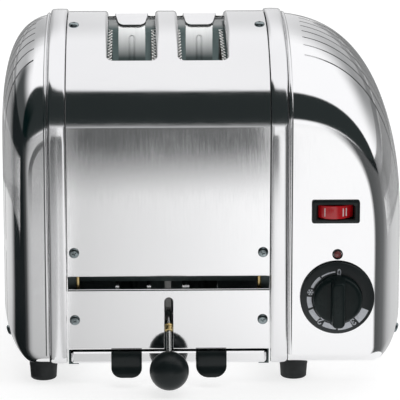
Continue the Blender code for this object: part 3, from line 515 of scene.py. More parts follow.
def crown_normal(y):
    step = 0.5
    slope = (section_height(y + step) - section_height(y - step)) / (2 * step)
    return Vector((0.0, -slope, 1.0)).normalized()


# ---------------------------------------------------------------- crown cover

CROWN_STEPS = 96


def crown_strip(out):
    """The cover's part of the arch, from its front edge to its back edge."""
    points = [p for p in crown_points(out, CROWN_STEPS) if p[1] > COVER_EDGE + 0.4]
    edge = front_of(COVER_EDGE, out)
    return [(edge, COVER_EDGE)] + points + [(-edge, COVER_EDGE)]


SLOT_CORNER = 4.0
NOTCH_Y = 69.6
NOTCH_INNER = 11.0
TONGUE_ROOT = 63.0
TONGUE_BEND = 2.5
TONGUE_SLOPE = 46.0
TONGUE_RAMP = 7.4
TONGUE_HALF = 10.6


def slot_sides(x, grow):
    """Plan of a slot's long sides and round front end, from one back corner to the other."""
    half, length, corner = SLOT_HALF_WIDTH + grow, SLOT_HALF_LENGTH + grow, SLOT_CORNER + grow
    line = [(x + half, NOTCH_Y - 2.0 - 8.0 * k) for k in range(17)]
    line += arc((x + half - corner, -length + corner), corner, 0, -90, 10)
    line += arc((x - half + corner, -length + corner), corner, -90, -180, 10)
    line += [(x - half, NOTCH_Y - 2.0 - 8.0 * k) for k in range(16, -1, -1)]
    return line


def slot_opening(x):
    """Plan of the hole in the sheet: at the back two round notches stand beside a tongue."""
    line = slot_sides(x, SLOT_ROLL)[1:-1]
    back = []
    for side in (-1, 1):
        outer, inner = SLOT_HALF_WIDTH + SLOT_ROLL, NOTCH_INNER
        notch = arc((outer - 2.4, NOTCH_Y - 2.4), 2.4, 0, 90, 6)
        notch += arc((inner + 1.6, NOTCH_Y - 1.6), 1.6, 90, 180, 6)
        notch.append((inner, TONGUE_ROOT))
        notch = [(x + side * px, py) for px, py in notch]
        back += notch if side < 0 else notch[::-1]
    return line + back


def slot_rim(x):
    """Rolled edge of a slot: the sheet turns down along its sides and ends in a short wall."""
    flange, depth = 0.8, 6.5
    profile = [(SLOT_ROLL + flange, 0.03)]
    for k in range(9):
        angle = math.radians(90 * k / 8)
        profile.append((SLOT_ROLL * (1 - math.sin(angle)), SLOT_ROLL * (1 - math.cos(angle))))
    profile += [(0.0, depth), (0.9, depth), (0.9, SLOT_ROLL + 0.6), (SLOT_ROLL, 1.2),
                (SLOT_ROLL + flange, 1.0)]
    return swept([[(px, py, section_height(py) - drop) for px, py in slot_sides(x, grow)]
                  for grow, drop in profile])


def slot_tongue(x):
    """Flap that the sheet leaves at a slot's back end, bent down into the chamber as a ramp."""
    root_normal = crown_normal(TONGUE_ROOT)
    start = -math.degrees(math.asin(root_normal.y))
    root = Vector((0.0, TONGUE_ROOT, section_height(TONGUE_ROOT)))
    centre = root - root_normal * TONGUE_BEND
    line = [(root - Vector((0.0, -1.0, 0.5)) * k - root_normal * 0.05, root_normal)
            for k in (2.0, 1.0)]
    for k in range(11):
        angle = math.radians(start + (TONGUE_SLOPE - start) * k / 10)
        normal = Vector((0.0, -math.sin(angle), math.cos(angle)))
        line.append((centre + normal * TONGUE_BEND, normal))
    ramp_start, normal = line[-1]
    along = Vector((0.0, -normal.z, normal.y))
    for k in range(1, 15):
        line.append((ramp_start + along * TONGUE_RAMP * k / 14, normal))
    rings = []
    for k, (point, normal) in enumerate(line):
        left = (line[-1][0] - point).length
        narrow = 0.30 * max(0.0, TONGUE_RAMP - left)
        corner = 2.6
        if left < corner:
            narrow += corner - math.sqrt(corner ** 2 - (corner - left) ** 2)
        half = TONGUE_HALF - narrow
        inner = point - normal * SHEET
        rings.append([(x - half, point.y, point.z), (x + half, point.y, point.z),
                      (x + half, inner.y, inner.z), (x - half, inner.y, inner.z)])
    return loft(rings)


def build_crown():
    sheet = bar_along_x(crown_strip(0.0) + crown_strip(-SHEET)[::-1], SHEET_HALF)
    crown = add_piece("crown_cover", sheet, CROWN_STEEL, replaces="top_cover")
    for x in (-SLOT_X, SLOT_X):
        carve(crown, prism(slot_opening(x), SHOULDER, CROWN + 12.0))
    dress(crown, CROWN_STEEL)
    modify(crown, "WEIGHTED_NORMAL", keep_sharp=True, weight=60)
    for name, x in (("left", -SLOT_X), ("right", SLOT_X)):
        add_piece("slot_rim_" + name, slot_rim(x), CROWN_STEEL, sharp=50.0)
        add_piece("slot_tongue_" + name, slot_tongue(x), CROWN_STEEL, sharp=50.0)


# ---------------------------------------------------------------- end frames

BAND_STEPS = 72


def band_path(out):
    """Line of the raised band at a height above the skin, turned under at both feet."""
    turn = 5.0
    centre = (-HALF_DEPTH + turn, BAND_BOTTOM + BAND_PROUD + turn)
    foot = arc(centre, turn + out, 270, 180, 8)
    walls = [(-(HALF_DEPTH + out), z) for z in (40.0, 80.0, 120.0)]
    front = foot + walls
    back = [(-y, z) for y, z in reversed(front)]
    return front + crown_points(out, BAND_STEPS) + back


def build_end_frame(name, side):
    """Cast end frame: its rim shows as a band, slightly crowned across its width."""
    inner, outer, proud = BAND_INNER, BAND_OUTER, BAND_PROUD
    start, end, rise = inner + 0.9, outer - 1.7, 0.16
    face = [(start + (end - start) * k / 6, proud - rise * (k / 3 - 1) ** 2) for k in range(7)]
    profile = [(inner, -3.0), (inner, proud - 1.0), (inner + 0.25, proud - 0.45)] + face
    profile += [(outer - 0.8, proud - 0.45), (outer - 0.2, proud - 1.1), (outer, proud - 2.0),
                (outer, -4.5), (inner + 2.5, -4.5), (inner + 2.5, -3.0)]
    rim = swept([[(side * x, y, z) for y, z in band_path(out)] for x, out in profile])
    web = loft([[(side * x, y, z) for y, z in band_path(-3.5)] for x in (inner + 2.6, inner + 5.0)])
    add_piece(name + "_casting", joined(rim, web), CAST, replaces=name, sharp=38.0)


# ---------------------------------------------------------------- end covers

# Rows of faces down a cover: its shoulder, the upper slits, the tie below them, the lower slits.
COVER_ROWS = (10, 34, 3, 9)
FOOT_STEPS = 10
WALL_SCALE = 60.0  # millimetres of the upright wall that one unit of the slice's measure covers
SIDE_START = 80.0


def between(pair, share):
    return pair[0] + (pair[1] - pair[0]) * share


def cover_slice(cover, y):
    """Outline of an end cover at a depth: over the shoulder, down the side and under the foot."""
    bulge = max(0.0, 1 - (abs(y) / HALF_DEPTH) ** CROWN_POWER) ** (1 / CROWN_POWER)
    pole, side = cover["pole_x"], between(cover["side_x"], bulge)
    corner, top = between(cover["corner_z"], bulge), between(cover["top_z"], bulge)
    power = between(cover["power"], bulge)
    edge = max(0.0, (abs(y) - HALF_DEPTH) / COVER_FILLET + 1)
    bottom = between(COVER_BOTTOM, math.sqrt(max(0.0, 1 - edge ** 2)))
    width, height = between(FOOT_CORNER_WIDTH, bulge), between(FOOT_CORNER_HEIGHT, bulge)

    def at(q):
        if q <= math.pi / 2:
            return (pole + (side - pole) * max(0.0, math.sin(q)) ** (2 / power),
                    corner + (top - corner) * max(0.0, math.cos(q)) ** (2 / power))
        return (side, corner - (q - math.pi / 2) * WALL_SCALE)

    def over(x):
        return math.asin(min(1.0, ((x - pole) / (side - pole))) ** (power / 2))

    def level(z):
        if z >= corner:
            return math.acos(min(1.0, ((z - corner) / (top - corner))) ** (power / 2))
        return math.pi / 2 + (corner - z) / WALL_SCALE

    slit_start = over(min(cover["slit_x"], side - 0.5))
    stops = [over(SEAM), slit_start] + [max(slit_start + 0.02 * k, level(z)) for k, z in
                                        enumerate(SLIT_LEVELS, 1)] + [level(bottom + height)]
    points = []
    for (start, end), count in zip(zip(stops, stops[1:]), COVER_ROWS):
        points += [at(start + (end - start) * k / count) for k in range(count)]
    points += arc_foot(side, bottom, width, height)
    points += [(SEAM + (side - width - SEAM) * k / 3, bottom) for k in (2, 1, 0)]
    return [(cover["side"] * x, y, z) for x, z in points]


def arc_foot(side, bottom, width, height):
    return [(side - width + width * math.cos(math.pi / 2 * k / FOOT_STEPS),
             bottom + height - height * math.sin(math.pi / 2 * k / FOOT_STEPS))
            for k in range(FOOT_STEPS + 1)]


def slit_centres():
    return [(k - (SLIT_COUNT - 1) / 2) * SLIT_PITCH for k in range(SLIT_COUNT)]


def cover_depths():
    """Depths of the cover's slices, with one on each edge of every slit."""
    half = SLIT_WIDTH / 2
    edges = [y + side * half for y in slit_centres() for side in (-1, 1)]
    depths = []
    for first, second in zip(edges, edges[1:]):
        parts = 3 if second - first > 2 * SLIT_WIDTH else 1
        depths += [first + (second - first) * k / parts for k in range(parts)]
    depths.append(edges[-1])
    start = (1 - (edges[-1] / HALF_DEPTH) ** CROWN_POWER) ** (1 / CROWN_POWER)
    steps = 20
    tail = []
    for k in range(1, steps + 1):
        bulge = start * (1 - k / steps)
        tail.append(HALF_DEPTH * (1 - bulge ** CROWN_POWER) ** (1 / CROWN_POWER))
    return [-y for y in reversed(tail)] + depths + tail


def is_slit(y):
    return any(abs(y - centre) < 0.1 for centre in slit_centres())


def build_cover(name, cover):
    """Pressed shell with its vent slits; the control side also has the switch's opening."""
    depths = cover_depths()
    rings = [cover_slice(cover, y) for y in depths]
    count = len(rings[0])
    points = [p for ring in rings for p in ring]
    upper = range(COVER_ROWS[0], COVER_ROWS[0] + COVER_ROWS[1])
    lower_start = sum(COVER_ROWS[:3])
    lower = range(lower_start, lower_start + COVER_ROWS[3] + 2)
    faces = []
    for i in range(len(rings) - 1):
        open_slice = is_slit((depths[i] + depths[i + 1]) / 2)
        for j in range(count - 1):
            if open_slice and (j in upper or j in lower):
                continue
            here = i * count + j
            face = (here, here + 1, here + 1 + count, here + count)
            faces.append(face if cover["side"] > 0 else face[::-1])
    caps = [tuple(range(count)), tuple(range(len(points) - count, len(points)))]
    faces += [caps[0][::-1], caps[1]] if cover["side"] > 0 else [caps[0], caps[1][::-1]]
    piece = add_piece(name + "_shell", (points, faces), POLISHED, replaces=name, sharp=40.0,
                      outwards=False)
    modify(piece, "SOLIDIFY", thickness=COVER_SHEET * MM, offset=-1.0, use_even_offset=False)
    bake_modifiers(piece)
    if cover["side"] > 0:
        opening = rounded_box_outline(12.0, 5.2, 0.6, 2, centre=(ROCKER.x, ROCKER.z))
        carve(piece, prism(opening, *FRONT_CUT), FROM_THE_FRONT)
    dress(piece, POLISHED, 45.0)
    modify(piece, "WEIGHTED_NORMAL", keep_sharp=True, weight=80)


def build_bead(name, cover):
    """Rolled bead along a cover's edge, beside the band."""
    x = SEAM + BEAD_RADIUS + 0.2
    line = []
    for y in cover_depths():
        ring = cover_slice(cover, y)
        for first, second in zip(ring, ring[1:]):
            if abs(second[0]) >= x:
                share = (x - abs(first[0])) / (abs(second[0]) - abs(first[0]))
                line.append((cover["side"] * x, y, first[2] + (second[2] - first[2]) * share))
                break
    wall = [(cover["side"] * x, line[0][1], z) for z in (20.0, 60.0, 100.0, 140.0)]
    line = wall + line + [(px, -py, z) for px, py, z in reversed(wall)]
    add_piece(name + "_bead", tube(line, BEAD_RADIUS, 14), CAST,
              sharp=60.0)


def side_spot(cover, y, z):
    """Place and outward normal on a cover's side at a depth and height."""

    def surface_x(depth, height):
        ring = cover_slice(cover, depth)
        for first, second in zip(ring, ring[1:]):
            if (first[2] - height) * (second[2] - height) <= 0 and first[2] > second[2]:
                share = (first[2] - height) / (first[2] - second[2])
                if abs(first[0]) > SIDE_START:
                    return first[0] + (second[0] - first[0]) * share
        return ring[0][0]

    step = 2.0
    here = surface_x(y, z)
    slope_y = (surface_x(y + step, z) - surface_x(y - step, z)) / (2 * step)
    slope_z = (surface_x(y, z + step) - surface_x(y, z - step)) / (2 * step)
    normal = Vector((1.0, -slope_y, -slope_z)) * cover["side"]
    return Vector((here, y, z)), normal.normalized()


# ---------------------------------------------------------------- panels

def panel_section(low, high, low_roll, high_roll):
    """Closed section of a front panel, in (y, z), with its edges rolled inwards."""
    y = -PANEL_Y
    outer, inner = [], []
    for offset, line in ((0.0, outer), (SHEET, inner)):
        if low_roll:
            line += arc((y + low_roll, low + low_roll), low_roll - offset, 270, 180, 6)
        else:
            line.append((y + offset, low))
        if high_roll:
            line += arc((y + high_roll, high - high_roll), high_roll - offset, 180, 90, 6)
        else:
            line.append((y + offset, high))
    return outer + inner[::-1]


def build_panel(name, node, low_roll, high_roll, lowered=0.0, sign=1):
    """Bent sheet between the bands; lowered keeps its top edge clear of the crown cover."""
    low, high = reach(node)
    section = panel_section(low.z, high.z - lowered, low_roll, high_roll)
    return add_piece(name, bar_along_x(section, SHEET_HALF, sign), POLISHED, replaces=node)


def build_panels():
    soften(build_panel("front_panel_sheet", "front_panel", 1.4, 0.0, lowered=1.0), 0.2)
    lower = build_panel("lower_panel_sheet", "lower_front_panel", 1.5, 1.5)
    slot = arc((0.0, LEVER_SLOT_TOP - LEVER_SLOT_HALF), LEVER_SLOT_HALF, 0, 180, 16)
    slot += [(-LEVER_SLOT_HALF, 10.0), (LEVER_SLOT_HALF, 10.0)]
    carve(lower, prism(slot, *FRONT_CUT), FROM_THE_FRONT)
    dress(lower, POLISHED)
    soften(lower, 0.2, angle=50.0)
    soften(build_panel("back_panel_sheet", "back_panel", 1.4, 0.0, lowered=1.0, sign=-1), 0.2)


# ---------------------------------------------------------------- screws

SCREW_HEAD = 3.3
RECESS_REACH, RECESS_HALF_WIDTH = 1.75, 0.42


def screw_shape():
    """Pan head with a chamfered rim and a short shank, its face towards +Z."""
    head = SCREW_HEAD
    profile = [(0.0, 1.75), (head * 0.45, 1.68), (head * 0.75, 1.4), (head * 0.92, 0.95),
               (head, 0.4), (head, 0.05), (head * 0.5, 0.0), (head * 0.5, -3.5), (0.0, -3.5)]
    return turned(profile, 40)


def cross_recess():
    """The two tapering bars of the cross that a driver fits."""
    length, half = RECESS_REACH, RECESS_HALF_WIDTH
    top = [(-length, -half, 2.4), (length, -half, 2.4), (length, half, 2.4), (-length, half, 2.4)]
    low = [(x * 0.35, y * 0.8, 0.5) for x, y, _ in top]
    return [moved(loft([low, top]), Matrix.Rotation(math.radians(turn), 4, "Z"))
            for turn in (0.0, 90.0)]


def build_screw(node, at, direction, spin):
    matrix = facing(direction, at) @ Matrix.Rotation(math.radians(spin), 4, "Z")
    screw = add_piece(node + "_head", moved(screw_shape(), matrix), ZINC, replaces=node)
    for bar in cross_recess():
        carve(screw, bar, matrix)
    dress(screw, ZINC)


def build_screws():
    spins = iter((20, 65, 48, 8, 33, 74, 12, 52))
    for side, direction in (("front", -1), ("back", 1)):
        for place in ("upper_left", "upper_right", "lower_left", "lower_right"):
            node = f"{side}_screw_{place}"
            centre = spot(node)
            at = Vector((centre.x, direction * PANEL_Y, centre.z))
            build_screw(node, at, (0, direction, 0), next(spins))
    for place, spin in (("left", 30), ("right", 71)):
        node = "crown_screw_" + place
        centre = spot(node)
        at = Vector((centre.x, centre.y, section_height(centre.y)))
        build_screw(node, at, crown_normal(centre.y), spin)
    for place, cover, spin in (("left", LEFT_COVER, 15), ("right", RIGHT_COVER, 55)):
        node = "side_screw_" + place
        centre = spot(node)
        at, normal = side_spot(cover, centre.y, centre.z)
        build_screw(node, at, normal, spin)


# ---------------------------------------------------------------- feet, gland and lamp

def build_feet():
    for node in ("foot_front_left", "foot_front_right", "foot_back_left", "foot_back_right"):
        centre, radius, height = spot(node), half_size(node).x, reach(node)[1].z
        profile = [(0.0, 0.9), (radius - 4.0, 0.9), (radius - 3.4, 0.0), (radius - 1.2, 0.0),
                   (radius - 0.7, 0.5), (radius - 0.2, height - 5.0), (radius, height - 4.2),
                   (radius, height - 0.6), (radius - 0.5, height), (0.0, height)]
        foot = moved(turned(profile, 48), Matrix.Translation((centre.x, centre.y, 0.0)))
        add_piece(node + "_rubber", foot, RUBBER, replaces=node, sharp=28.0)


def build_gland():
    centre = spot("cord_gland")
    out = reach("cord_gland")[1].y - HALF_DEPTH
    profile = [(3.7, -5.0), (3.7, out), (5.4, out), (6.1, out - 0.6), (6.3, out - 1.6),
               (5.8, out - 2.0), (5.8, out - 2.8), (6.6, out - 3.2), (6.7, out - 4.2),
               (6.2, out - 4.6), (6.2, out - 5.4), (7.4, out - 5.9), (8.2, 2.4), (8.5, 1.6),
               (8.5, 0.3), (5.2, 0.3), (5.2, -5.0)]
    matrix = facing((0, 1, 0), (centre.x, HALF_DEPTH, centre.z))
    add_piece("cord_gland_ring", moved(turned(profile, 56, hollow=True), matrix), BLACK,
              replaces="cord_gland")


def build_lamp():
    matrix = facing((0, -1, 0), (LAMP.x, -HALF_DEPTH, LAMP.z))
    lens = [(0.0, 1.75), (0.6, 1.72), (1.2, 1.55), (1.7, 1.25), (2.1, 0.85), (2.35, 0.4),
            (2.4, -3.0), (0.0, -3.0)]
    add_piece("lamp_lens_dome", moved(turned(lens, 40), matrix), LENS, replaces="lamp_lens",
              sharp=40.0)
    rim = [(2.45, -2.0), (2.45, 0.5), (2.65, 0.85), (3.0, 0.85), (3.35, 0.5), (3.4, 0.0),
           (3.2, -0.1), (3.2, -2.0)]
    add_piece("lamp_rim", moved(turned(rim, 40, hollow=True), matrix), BLACK)


# ---------------------------------------------------------------- timer knob and dial

DIAL_FACE = 3.0


def skirt_height(radius):
    """Height of the dial skirt over its back, falling gently from the hub to the rim."""
    return DIAL_FACE - 0.4 * max(0.0, (radius - HUB_RADIUS) / (SKIRT_RADIUS - HUB_RADIUS))


def clock(angle, radius):
    """Point on the dial, its angle in degrees counted anticlockwise from the top."""
    turn = math.radians(90 + angle)
    return radius * math.cos(turn), radius * math.sin(turn)


def sector(start, end, inner, outer):
    """Raised mark on the dial between two angles, counted anticlockwise from the top."""
    steps = max(3, int(abs(end - start) / 3))
    angles = [start + (end - start) * k / steps for k in range(steps + 1)]
    outline = [clock(a, outer) for a in angles] + [clock(a, inner) for a in reversed(angles)]
    low = [(x, y, skirt_height(math.hypot(x, y)) - 0.2) for x, y in outline]
    high = [(x, y, skirt_height(math.hypot(x, y)) + 0.10) for x, y in outline]
    return loft([low, high])


def stroke(points, width):
    """Raised line through points on the dial."""
    shapes = []
    for (x0, y0), (x1, y1) in zip(points, points[1:]):
        along = Vector((x1 - x0, y1 - y0)).normalized() * width / 2
        across = Vector((-along.y, along.x))
        corners = [(x0 - along.x + across.x, y0 - along.y + across.y),
                   (x1 + along.x + across.x, y1 + along.y + across.y),
                   (x1 + along.x - across.x, y1 + along.y - across.y),
                   (x0 - along.x - across.x, y0 - along.y - across.y)]
        low = [(x, y, DIAL_FACE - 0.4) for x, y in corners]
        high = [(x, y, skirt_height(math.hypot(x, y)) + 0.11) for x, y in corners]
        shapes.append(loft([low, high]))
    return joined(*shapes)


def digit_lines(character):
    """Plain line figures 0, 2 and 3 in a box one wide and two high, centred on the origin."""
    if character == "0":
        return [[(0.5 * math.sin(2 * math.pi * k / 20), math.cos(2 * math.pi * k / 20))
                 for k in range(21)]]
    if character == "2":
        bow = [(0.5 * math.cos(math.radians(a)), 0.5 + 0.5 * math.sin(math.radians(a)))
               for a in range(170, -45, -21)]
        return [bow + [(-0.5, -1.0), (0.5, -1.0)]]
    upper = [(0.48 * math.cos(math.radians(a)), 0.48 + 0.48 * math.sin(math.radians(a)))
             for a in range(160, -91, -25)]
    lower = [(0.5 * math.cos(math.radians(a)), -0.5 + 0.5 * math.sin(math.radians(a)))
             for a in range(90, -161, -25)]
    return [upper, lower]


def digit(character, angle, radius, height):
    """Figure on the dial with its top towards the rim."""
    turn = math.radians(angle)
    centre = clock(angle, radius)
    shapes = []
    for line in digit_lines(character):
        points = []
        for u, v in line:
            u, v = u * height / 2, v * height / 2
            points.append((centre[0] + u * math.cos(turn) - v * math.sin(turn),
                           centre[1] + u * math.sin(turn) + v * math.cos(turn)))
        shapes.append(stroke(points, 0.75))
    return joined(*shapes)


def snowflake(angle, radius, size):
    """Six rays with short branches, for frozen bread."""
    centre = clock(angle, radius)
    shapes = []
    for k in range(6):
        turn = math.radians(60 * k)
        tip, fork, left, right = [(centre[0] + size * share * math.cos(turn + bend),
                                   centre[1] + size * share * math.sin(turn + bend))
                                  for share, bend in ((0.5, 0.0), (0.30, 0.0), (0.46, 0.34),
                                                      (0.46, -0.34))]
        shapes.append(stroke([centre, tip], 0.38))
        shapes.append(stroke([left, fork, right], 0.3))
    return joined(*shapes)


# Arcs of the printed scale, as (start, end, inner radius, outer radius), and its figures, as
# (figure, angle, radius, height).
SCALE = ((5, 35, 17.2, 18.1), (38.6, 66, 16.8, 18.6), (86, 109, 16.5, 19.4),
         (113.5, 139, 16.7, 19.9), (152, 178, 17.2, 20.5), (181.5, 208, 17.0, 21.0),
         (221, 248, 16.7, 21.4))
DIGITS = (("0", -3.0, 17.3, 3.6), ("2", 144.5, 18.3, 4.0), ("3", 213.5, 18.6, 4.0))


def build_knob():
    matrix = facing((0, -1, 0), (KNOB.x, -HALF_DEPTH - 0.6, KNOB.z))
    rim = SKIRT_RADIUS
    skirt = [(0.0, 0.0), (rim - 1.0, 0.0), (rim - 0.15, 0.3), (rim, 0.9), (rim, 1.7),
             (rim - 0.25, 2.3), (rim - 0.8, skirt_height(rim - 0.8)),
             (HUB_RADIUS, DIAL_FACE), (HUB_RADIUS - 0.4, DIAL_FACE - 0.7), (0.0, DIAL_FACE - 0.7)]
    add_piece("dial_skirt", moved(turned(skirt, 128), matrix), DIAL_BLACK, body="timer_dial",
              replaces="timer_knob", sharp=40.0)
    hub = HUB_RADIUS
    cap = [(0.0, 9.0), (hub - 3.2, 9.0), (hub - 1.9, 8.7), (hub - 1.0, 8.0), (hub - 0.55, 7.0),
           (hub - 0.3, 4.6), (hub - 0.2, 3.2), (hub - 0.2, 2.4), (0.0, 2.4)]
    add_piece("knob_hub", moved(turned(cap, 96), matrix), HUB_BLACK, body="timer_dial",
              sharp=50.0)
    build_grip(matrix)
    marks = [sector(*values) for values in SCALE] + [digit(*values) for values in DIGITS]
    marks.append(snowflake(76.0, 17.7, 3.8))
    add_piece("dial_scale", moved(joined(*marks), matrix), PRINT, body="timer_dial")


# Levels of the grip, as (height, half width, half length).
GRIP_LEVELS = ((8.0, 5.0, 16.0), (9.2, 4.5, 15.9), (10.4, 4.2, 15.6), (16.2, 3.9, 15.0),
               (17.4, 3.7, 14.8), (18.1, 3.3, 14.4), (18.4, 2.7, 13.8))


def build_grip(matrix):
    """Bar across the hub, flared at its root and rounded off to a flat top."""
    rings = []
    for height, half_width, half_length in GRIP_LEVELS:
        outline = rounded_box_outline(half_width, half_length, min(half_width - 0.1, 2.6), 6,
                                      centre=(0.0, -0.6))
        rings.append([(x, y, height) for x, y in outline])
    add_piece("knob_grip", moved(loft(rings), matrix), HUB_BLACK, body="timer_dial", sharp=45.0)


# ---------------------------------------------------------------- rocker switch

def build_switch():
    half = half_size("switch_body")
    matrix = facing((0, -1, 0), (ROCKER.x, -HALF_DEPTH, ROCKER.z))
    proud = -HALF_DEPTH - reach("switch_body")[0].y
    rings = []
    for grow, height in ((0.0, 0.2), (0.0, proud - 0.9), (-0.35, proud - 0.25),
                           (-1.0, proud), (-2.6, proud), (-3.1, proud - 0.35),
                           (-3.4, proud - 1.0), (-3.4, -9.0), (-2.2, -9.0), (-2.2, 0.2)):
        outline = rounded_box_outline(half.x + grow, half.z + grow * 0.8, 1.5, 5)
        rings.append([(x, y, height) for x, y in outline])
    floor = rounded_box_outline(half.x - 2.4, half.z - 1.9, 0.5, 2)
    bezel = joined(ring_wall(rings), prism(floor, -9.5, -9.0))
    add_piece("switch_bezel", moved(bezel, matrix), BLACK, replaces="switch_body")
    build_rocker()


ROCKER_TILT = math.radians(6.0)
ROCKER_RADIUS = 14.5


def build_rocker():
    """Rocker with a rounded face, one end pressed in, and the on and off strokes."""
    pivot = Vector((ROCKER.x, -98.0, ROCKER.z))
    matrix = facing((0, -1, 0), pivot) @ Matrix.Rotation(ROCKER_TILT, 4, "Y")
    half, radius, centre = 4.3, ROCKER_RADIUS, -9.0
    outline = arc((0.0, centre), radius, 39.8, 140.2, 28) + [(-9.6, -8.0), (9.6, -8.0)]
    rings = []
    for inset, y in ((0.45, -half), (0.12, -half + 0.2), (0.0, -half + 0.6),
                     (0.0, half - 0.6), (0.12, half - 0.2), (0.45, half)):
        rings.append([(x * (1 - inset / 12), y, z - inset) for x, z in outline])
    add_piece("rocker_cap", moved(loft(rings), matrix), RED, body="switch_rocker",
              replaces="rocker", sharp=35.0)
    shapes = []
    for x in (-7.4, 4.0, 6.0):
        top = centre + radius * math.cos(math.asin(x / radius))
        shapes.append(prism([(x - 0.35, -2.6), (x + 0.35, -2.6), (x + 0.35, 2.6),
                             (x - 0.35, 2.6)], top - 0.5, top + 0.12))
    add_piece("rocker_marks", moved(joined(*shapes), matrix), ROCKER_PRINT, body="switch_rocker")


# ---------------------------------------------------------------- lift lever

ROD_RADIUS = 1.55
ROD_KNEE = Vector((0.0, -91.6, 45.9))
ROD_START = Vector((0.0, -71.0, 40.5))
BUSH_CENTRE = Vector((0.0, -99.0, 37.7))


def build_lever():
    aim = (BUSH_CENTRE - BALL).normalized()
    first = ROD_KNEE + (ROD_START - ROD_KNEE).normalized() * 6.0
    last = ROD_KNEE - aim * 6.0
    points = [ROD_START]
    for k in range(13):
        share = k / 12
        points.append(first.lerp(ROD_KNEE, share).lerp(ROD_KNEE.lerp(last, share), share))
    points.append(BALL + aim * 9.0)
    add_piece("lever_rod", tube(points, ROD_RADIUS, 24), WIRE, body="lift_lever", sharp=40.0)
    length, radius = 2.4, 2.6
    bush = [(ROD_RADIUS + 0.02, -length), (ROD_RADIUS + 0.02, length), (radius - 0.4, length),
            (radius - 0.05, length - 0.35), (radius, length - 0.9), (radius - 0.25, length - 1.2),
            (radius - 0.25, length - 1.5), (radius, length - 1.8), (radius, -length + 0.5),
            (radius - 0.4, -length)]
    add_piece("lever_bush_ring", moved(turned(bush, 36, hollow=True), facing(aim, BUSH_CENTRE)),
              BRASS, body="lift_lever", replaces="lever_bush")
    build_ball(aim)


def build_ball(aim):
    """Moulded ball with a parting line and a socket that the rod enters."""
    profile = [(1.7, BALL_RADIUS - 5.0), (1.75, BALL_RADIUS - 0.9), (2.1, BALL_RADIUS - 0.35)]
    for k in range(8, 100):
        angle = 180.0 * k / 100
        groove = 0.06 * math.exp(-((angle - 90.0) / 1.2) ** 2)
        profile.append(((BALL_RADIUS - groove) * math.sin(math.radians(angle)),
                        (BALL_RADIUS - groove) * math.cos(math.radians(angle))))
    profile.append((0.0, -BALL_RADIUS))
    add_piece("lever_ball_grip", moved(turned(profile, 96), facing(aim, BALL)), BLACK,
              body="lift_lever", replaces="lever_ball", sharp=60.0)


# ---------------------------------------------------------------- tray tabs

def smooth_line(points, parts):
    """Catmull-Rom line through points."""
    points = [Vector(p) for p in points]
    ends = [2 * points[0] - points[1]] + points + [2 * points[-1] - points[-2]]
    line = []
    for a, b, c, d in zip(ends, ends[1:], ends[2:], ends[3:]):
        for k in range(parts):
            t = k / parts
            line.append(0.5 * (2 * b + (c - a) * t + (2 * a - 5 * b + 4 * c - d) * t ** 2
                               + (3 * b - a - 3 * c + d) * t ** 3))
    return line + [points[-1]]


TAB_CURL = [(2.6, 22.3), (3.7, 20.8), (4.35, 18.5), (4.5, 16.0), (4.3, 13.8), (5.0, 11.5),
            (6.6, 9.0), (8.7, 7.0)]


TAB_COLUMNS = 13
TAB_THICKNESS = 2.0
TAB_EDGE = 0.7
TAB_LIP_TOP = 10.0


def build_tab(node, corner):
    """Finger tab: a curled strip, flared at its lip and rounded at its lower corners."""
    centre, half = spot(node).x, half_size(node).x
    outer, inner = [], []
    for out, z in smooth_line(TAB_CURL, 5):
        left = z - TAB_CURL[-1][1]
        width = half
        if left < corner:
            width -= corner * 1.15 * (1 - math.sqrt(max(0.0, 1 - (1 - left / corner) ** 2)))
        flare = 0.3 if z < TAB_LIP_TOP else 0.0
        for k in range(TAB_COLUMNS):
            across = -1 + 2 * k / (TAB_COLUMNS - 1)
            across = math.copysign(1 - (1 - abs(across)) ** 1.4, across)
            rounding = TAB_EDGE * max(0.0, (abs(across) - 0.9) / 0.1) ** 2
            x, y = centre + across * width, -PANEL_Y - out
            outer.append((x, y + rounding, z))
            inner.append((x, y + TAB_THICKNESS - rounding * 0.5, z + flare))
    add_piece(node + "_moulding", thick_sheet(outer, inner, TAB_COLUMNS), BLACK, body="tray",
              replaces=node, sharp=45.0)


# ---------------------------------------------------------------- bread chambers

GUIDE_TOP = 199.2
GUIDE_SET_IN = 2.4
GUIDE_COLUMNS = 49
GUIDE_SHEET = 0.8
GROOVE_HALF, GROOVE_TOP, GROOVE_DEPTH = 2.3, 192.6, 1.7


def build_guide(node):
    """Guide strip at a chamber's end, with an arched groove pressed into it."""
    centre, half, bottom = spot(node).x, half_size(node).x, reach(node)[0].z
    sign = 1 if spot(node).y > 0 else -1
    face = sign * (SLOT_HALF_LENGTH - GUIDE_SET_IN)
    arch_start = GROOVE_TOP - 8
    heights = [bottom + (arch_start - bottom) * k / 20 for k in range(21)]
    heights += [arch_start + (GUIDE_TOP - arch_start) * k / 30 for k in range(1, 31)]
    front = []
    for z in heights:
        arch = GROOVE_HALF
        if z > GROOVE_TOP - GROOVE_HALF:
            spare = GROOVE_HALF ** 2 - (z - GROOVE_TOP + GROOVE_HALF) ** 2
            arch = math.sqrt(max(0.0, spare))
        for k in range(GUIDE_COLUMNS):
            x = -half + 2 * half * k / (GUIDE_COLUMNS - 1)
            share = min(1.0, max(0.0, (arch + 0.3 - abs(x)) / 1.9)) if arch > 0 else 0.0
            dent = GROOVE_DEPTH * share * share * (3 - 2 * share)
            front.append((centre + x, face + sign * dent, z))
    back = [(x, y + sign * GUIDE_SHEET, z) for x, y, z in front]
    add_piece(node + "_strip", thick_sheet(front, back, GUIDE_COLUMNS), GUIDE_STEEL,
              replaces=node, sharp=40.0)


GUARD_WIRE, EDGE_WIRE = 0.65, 0.32
GUARD_UPRIGHTS = 11
EDGE_TEETH, EDGE_Z = 14, 197.2


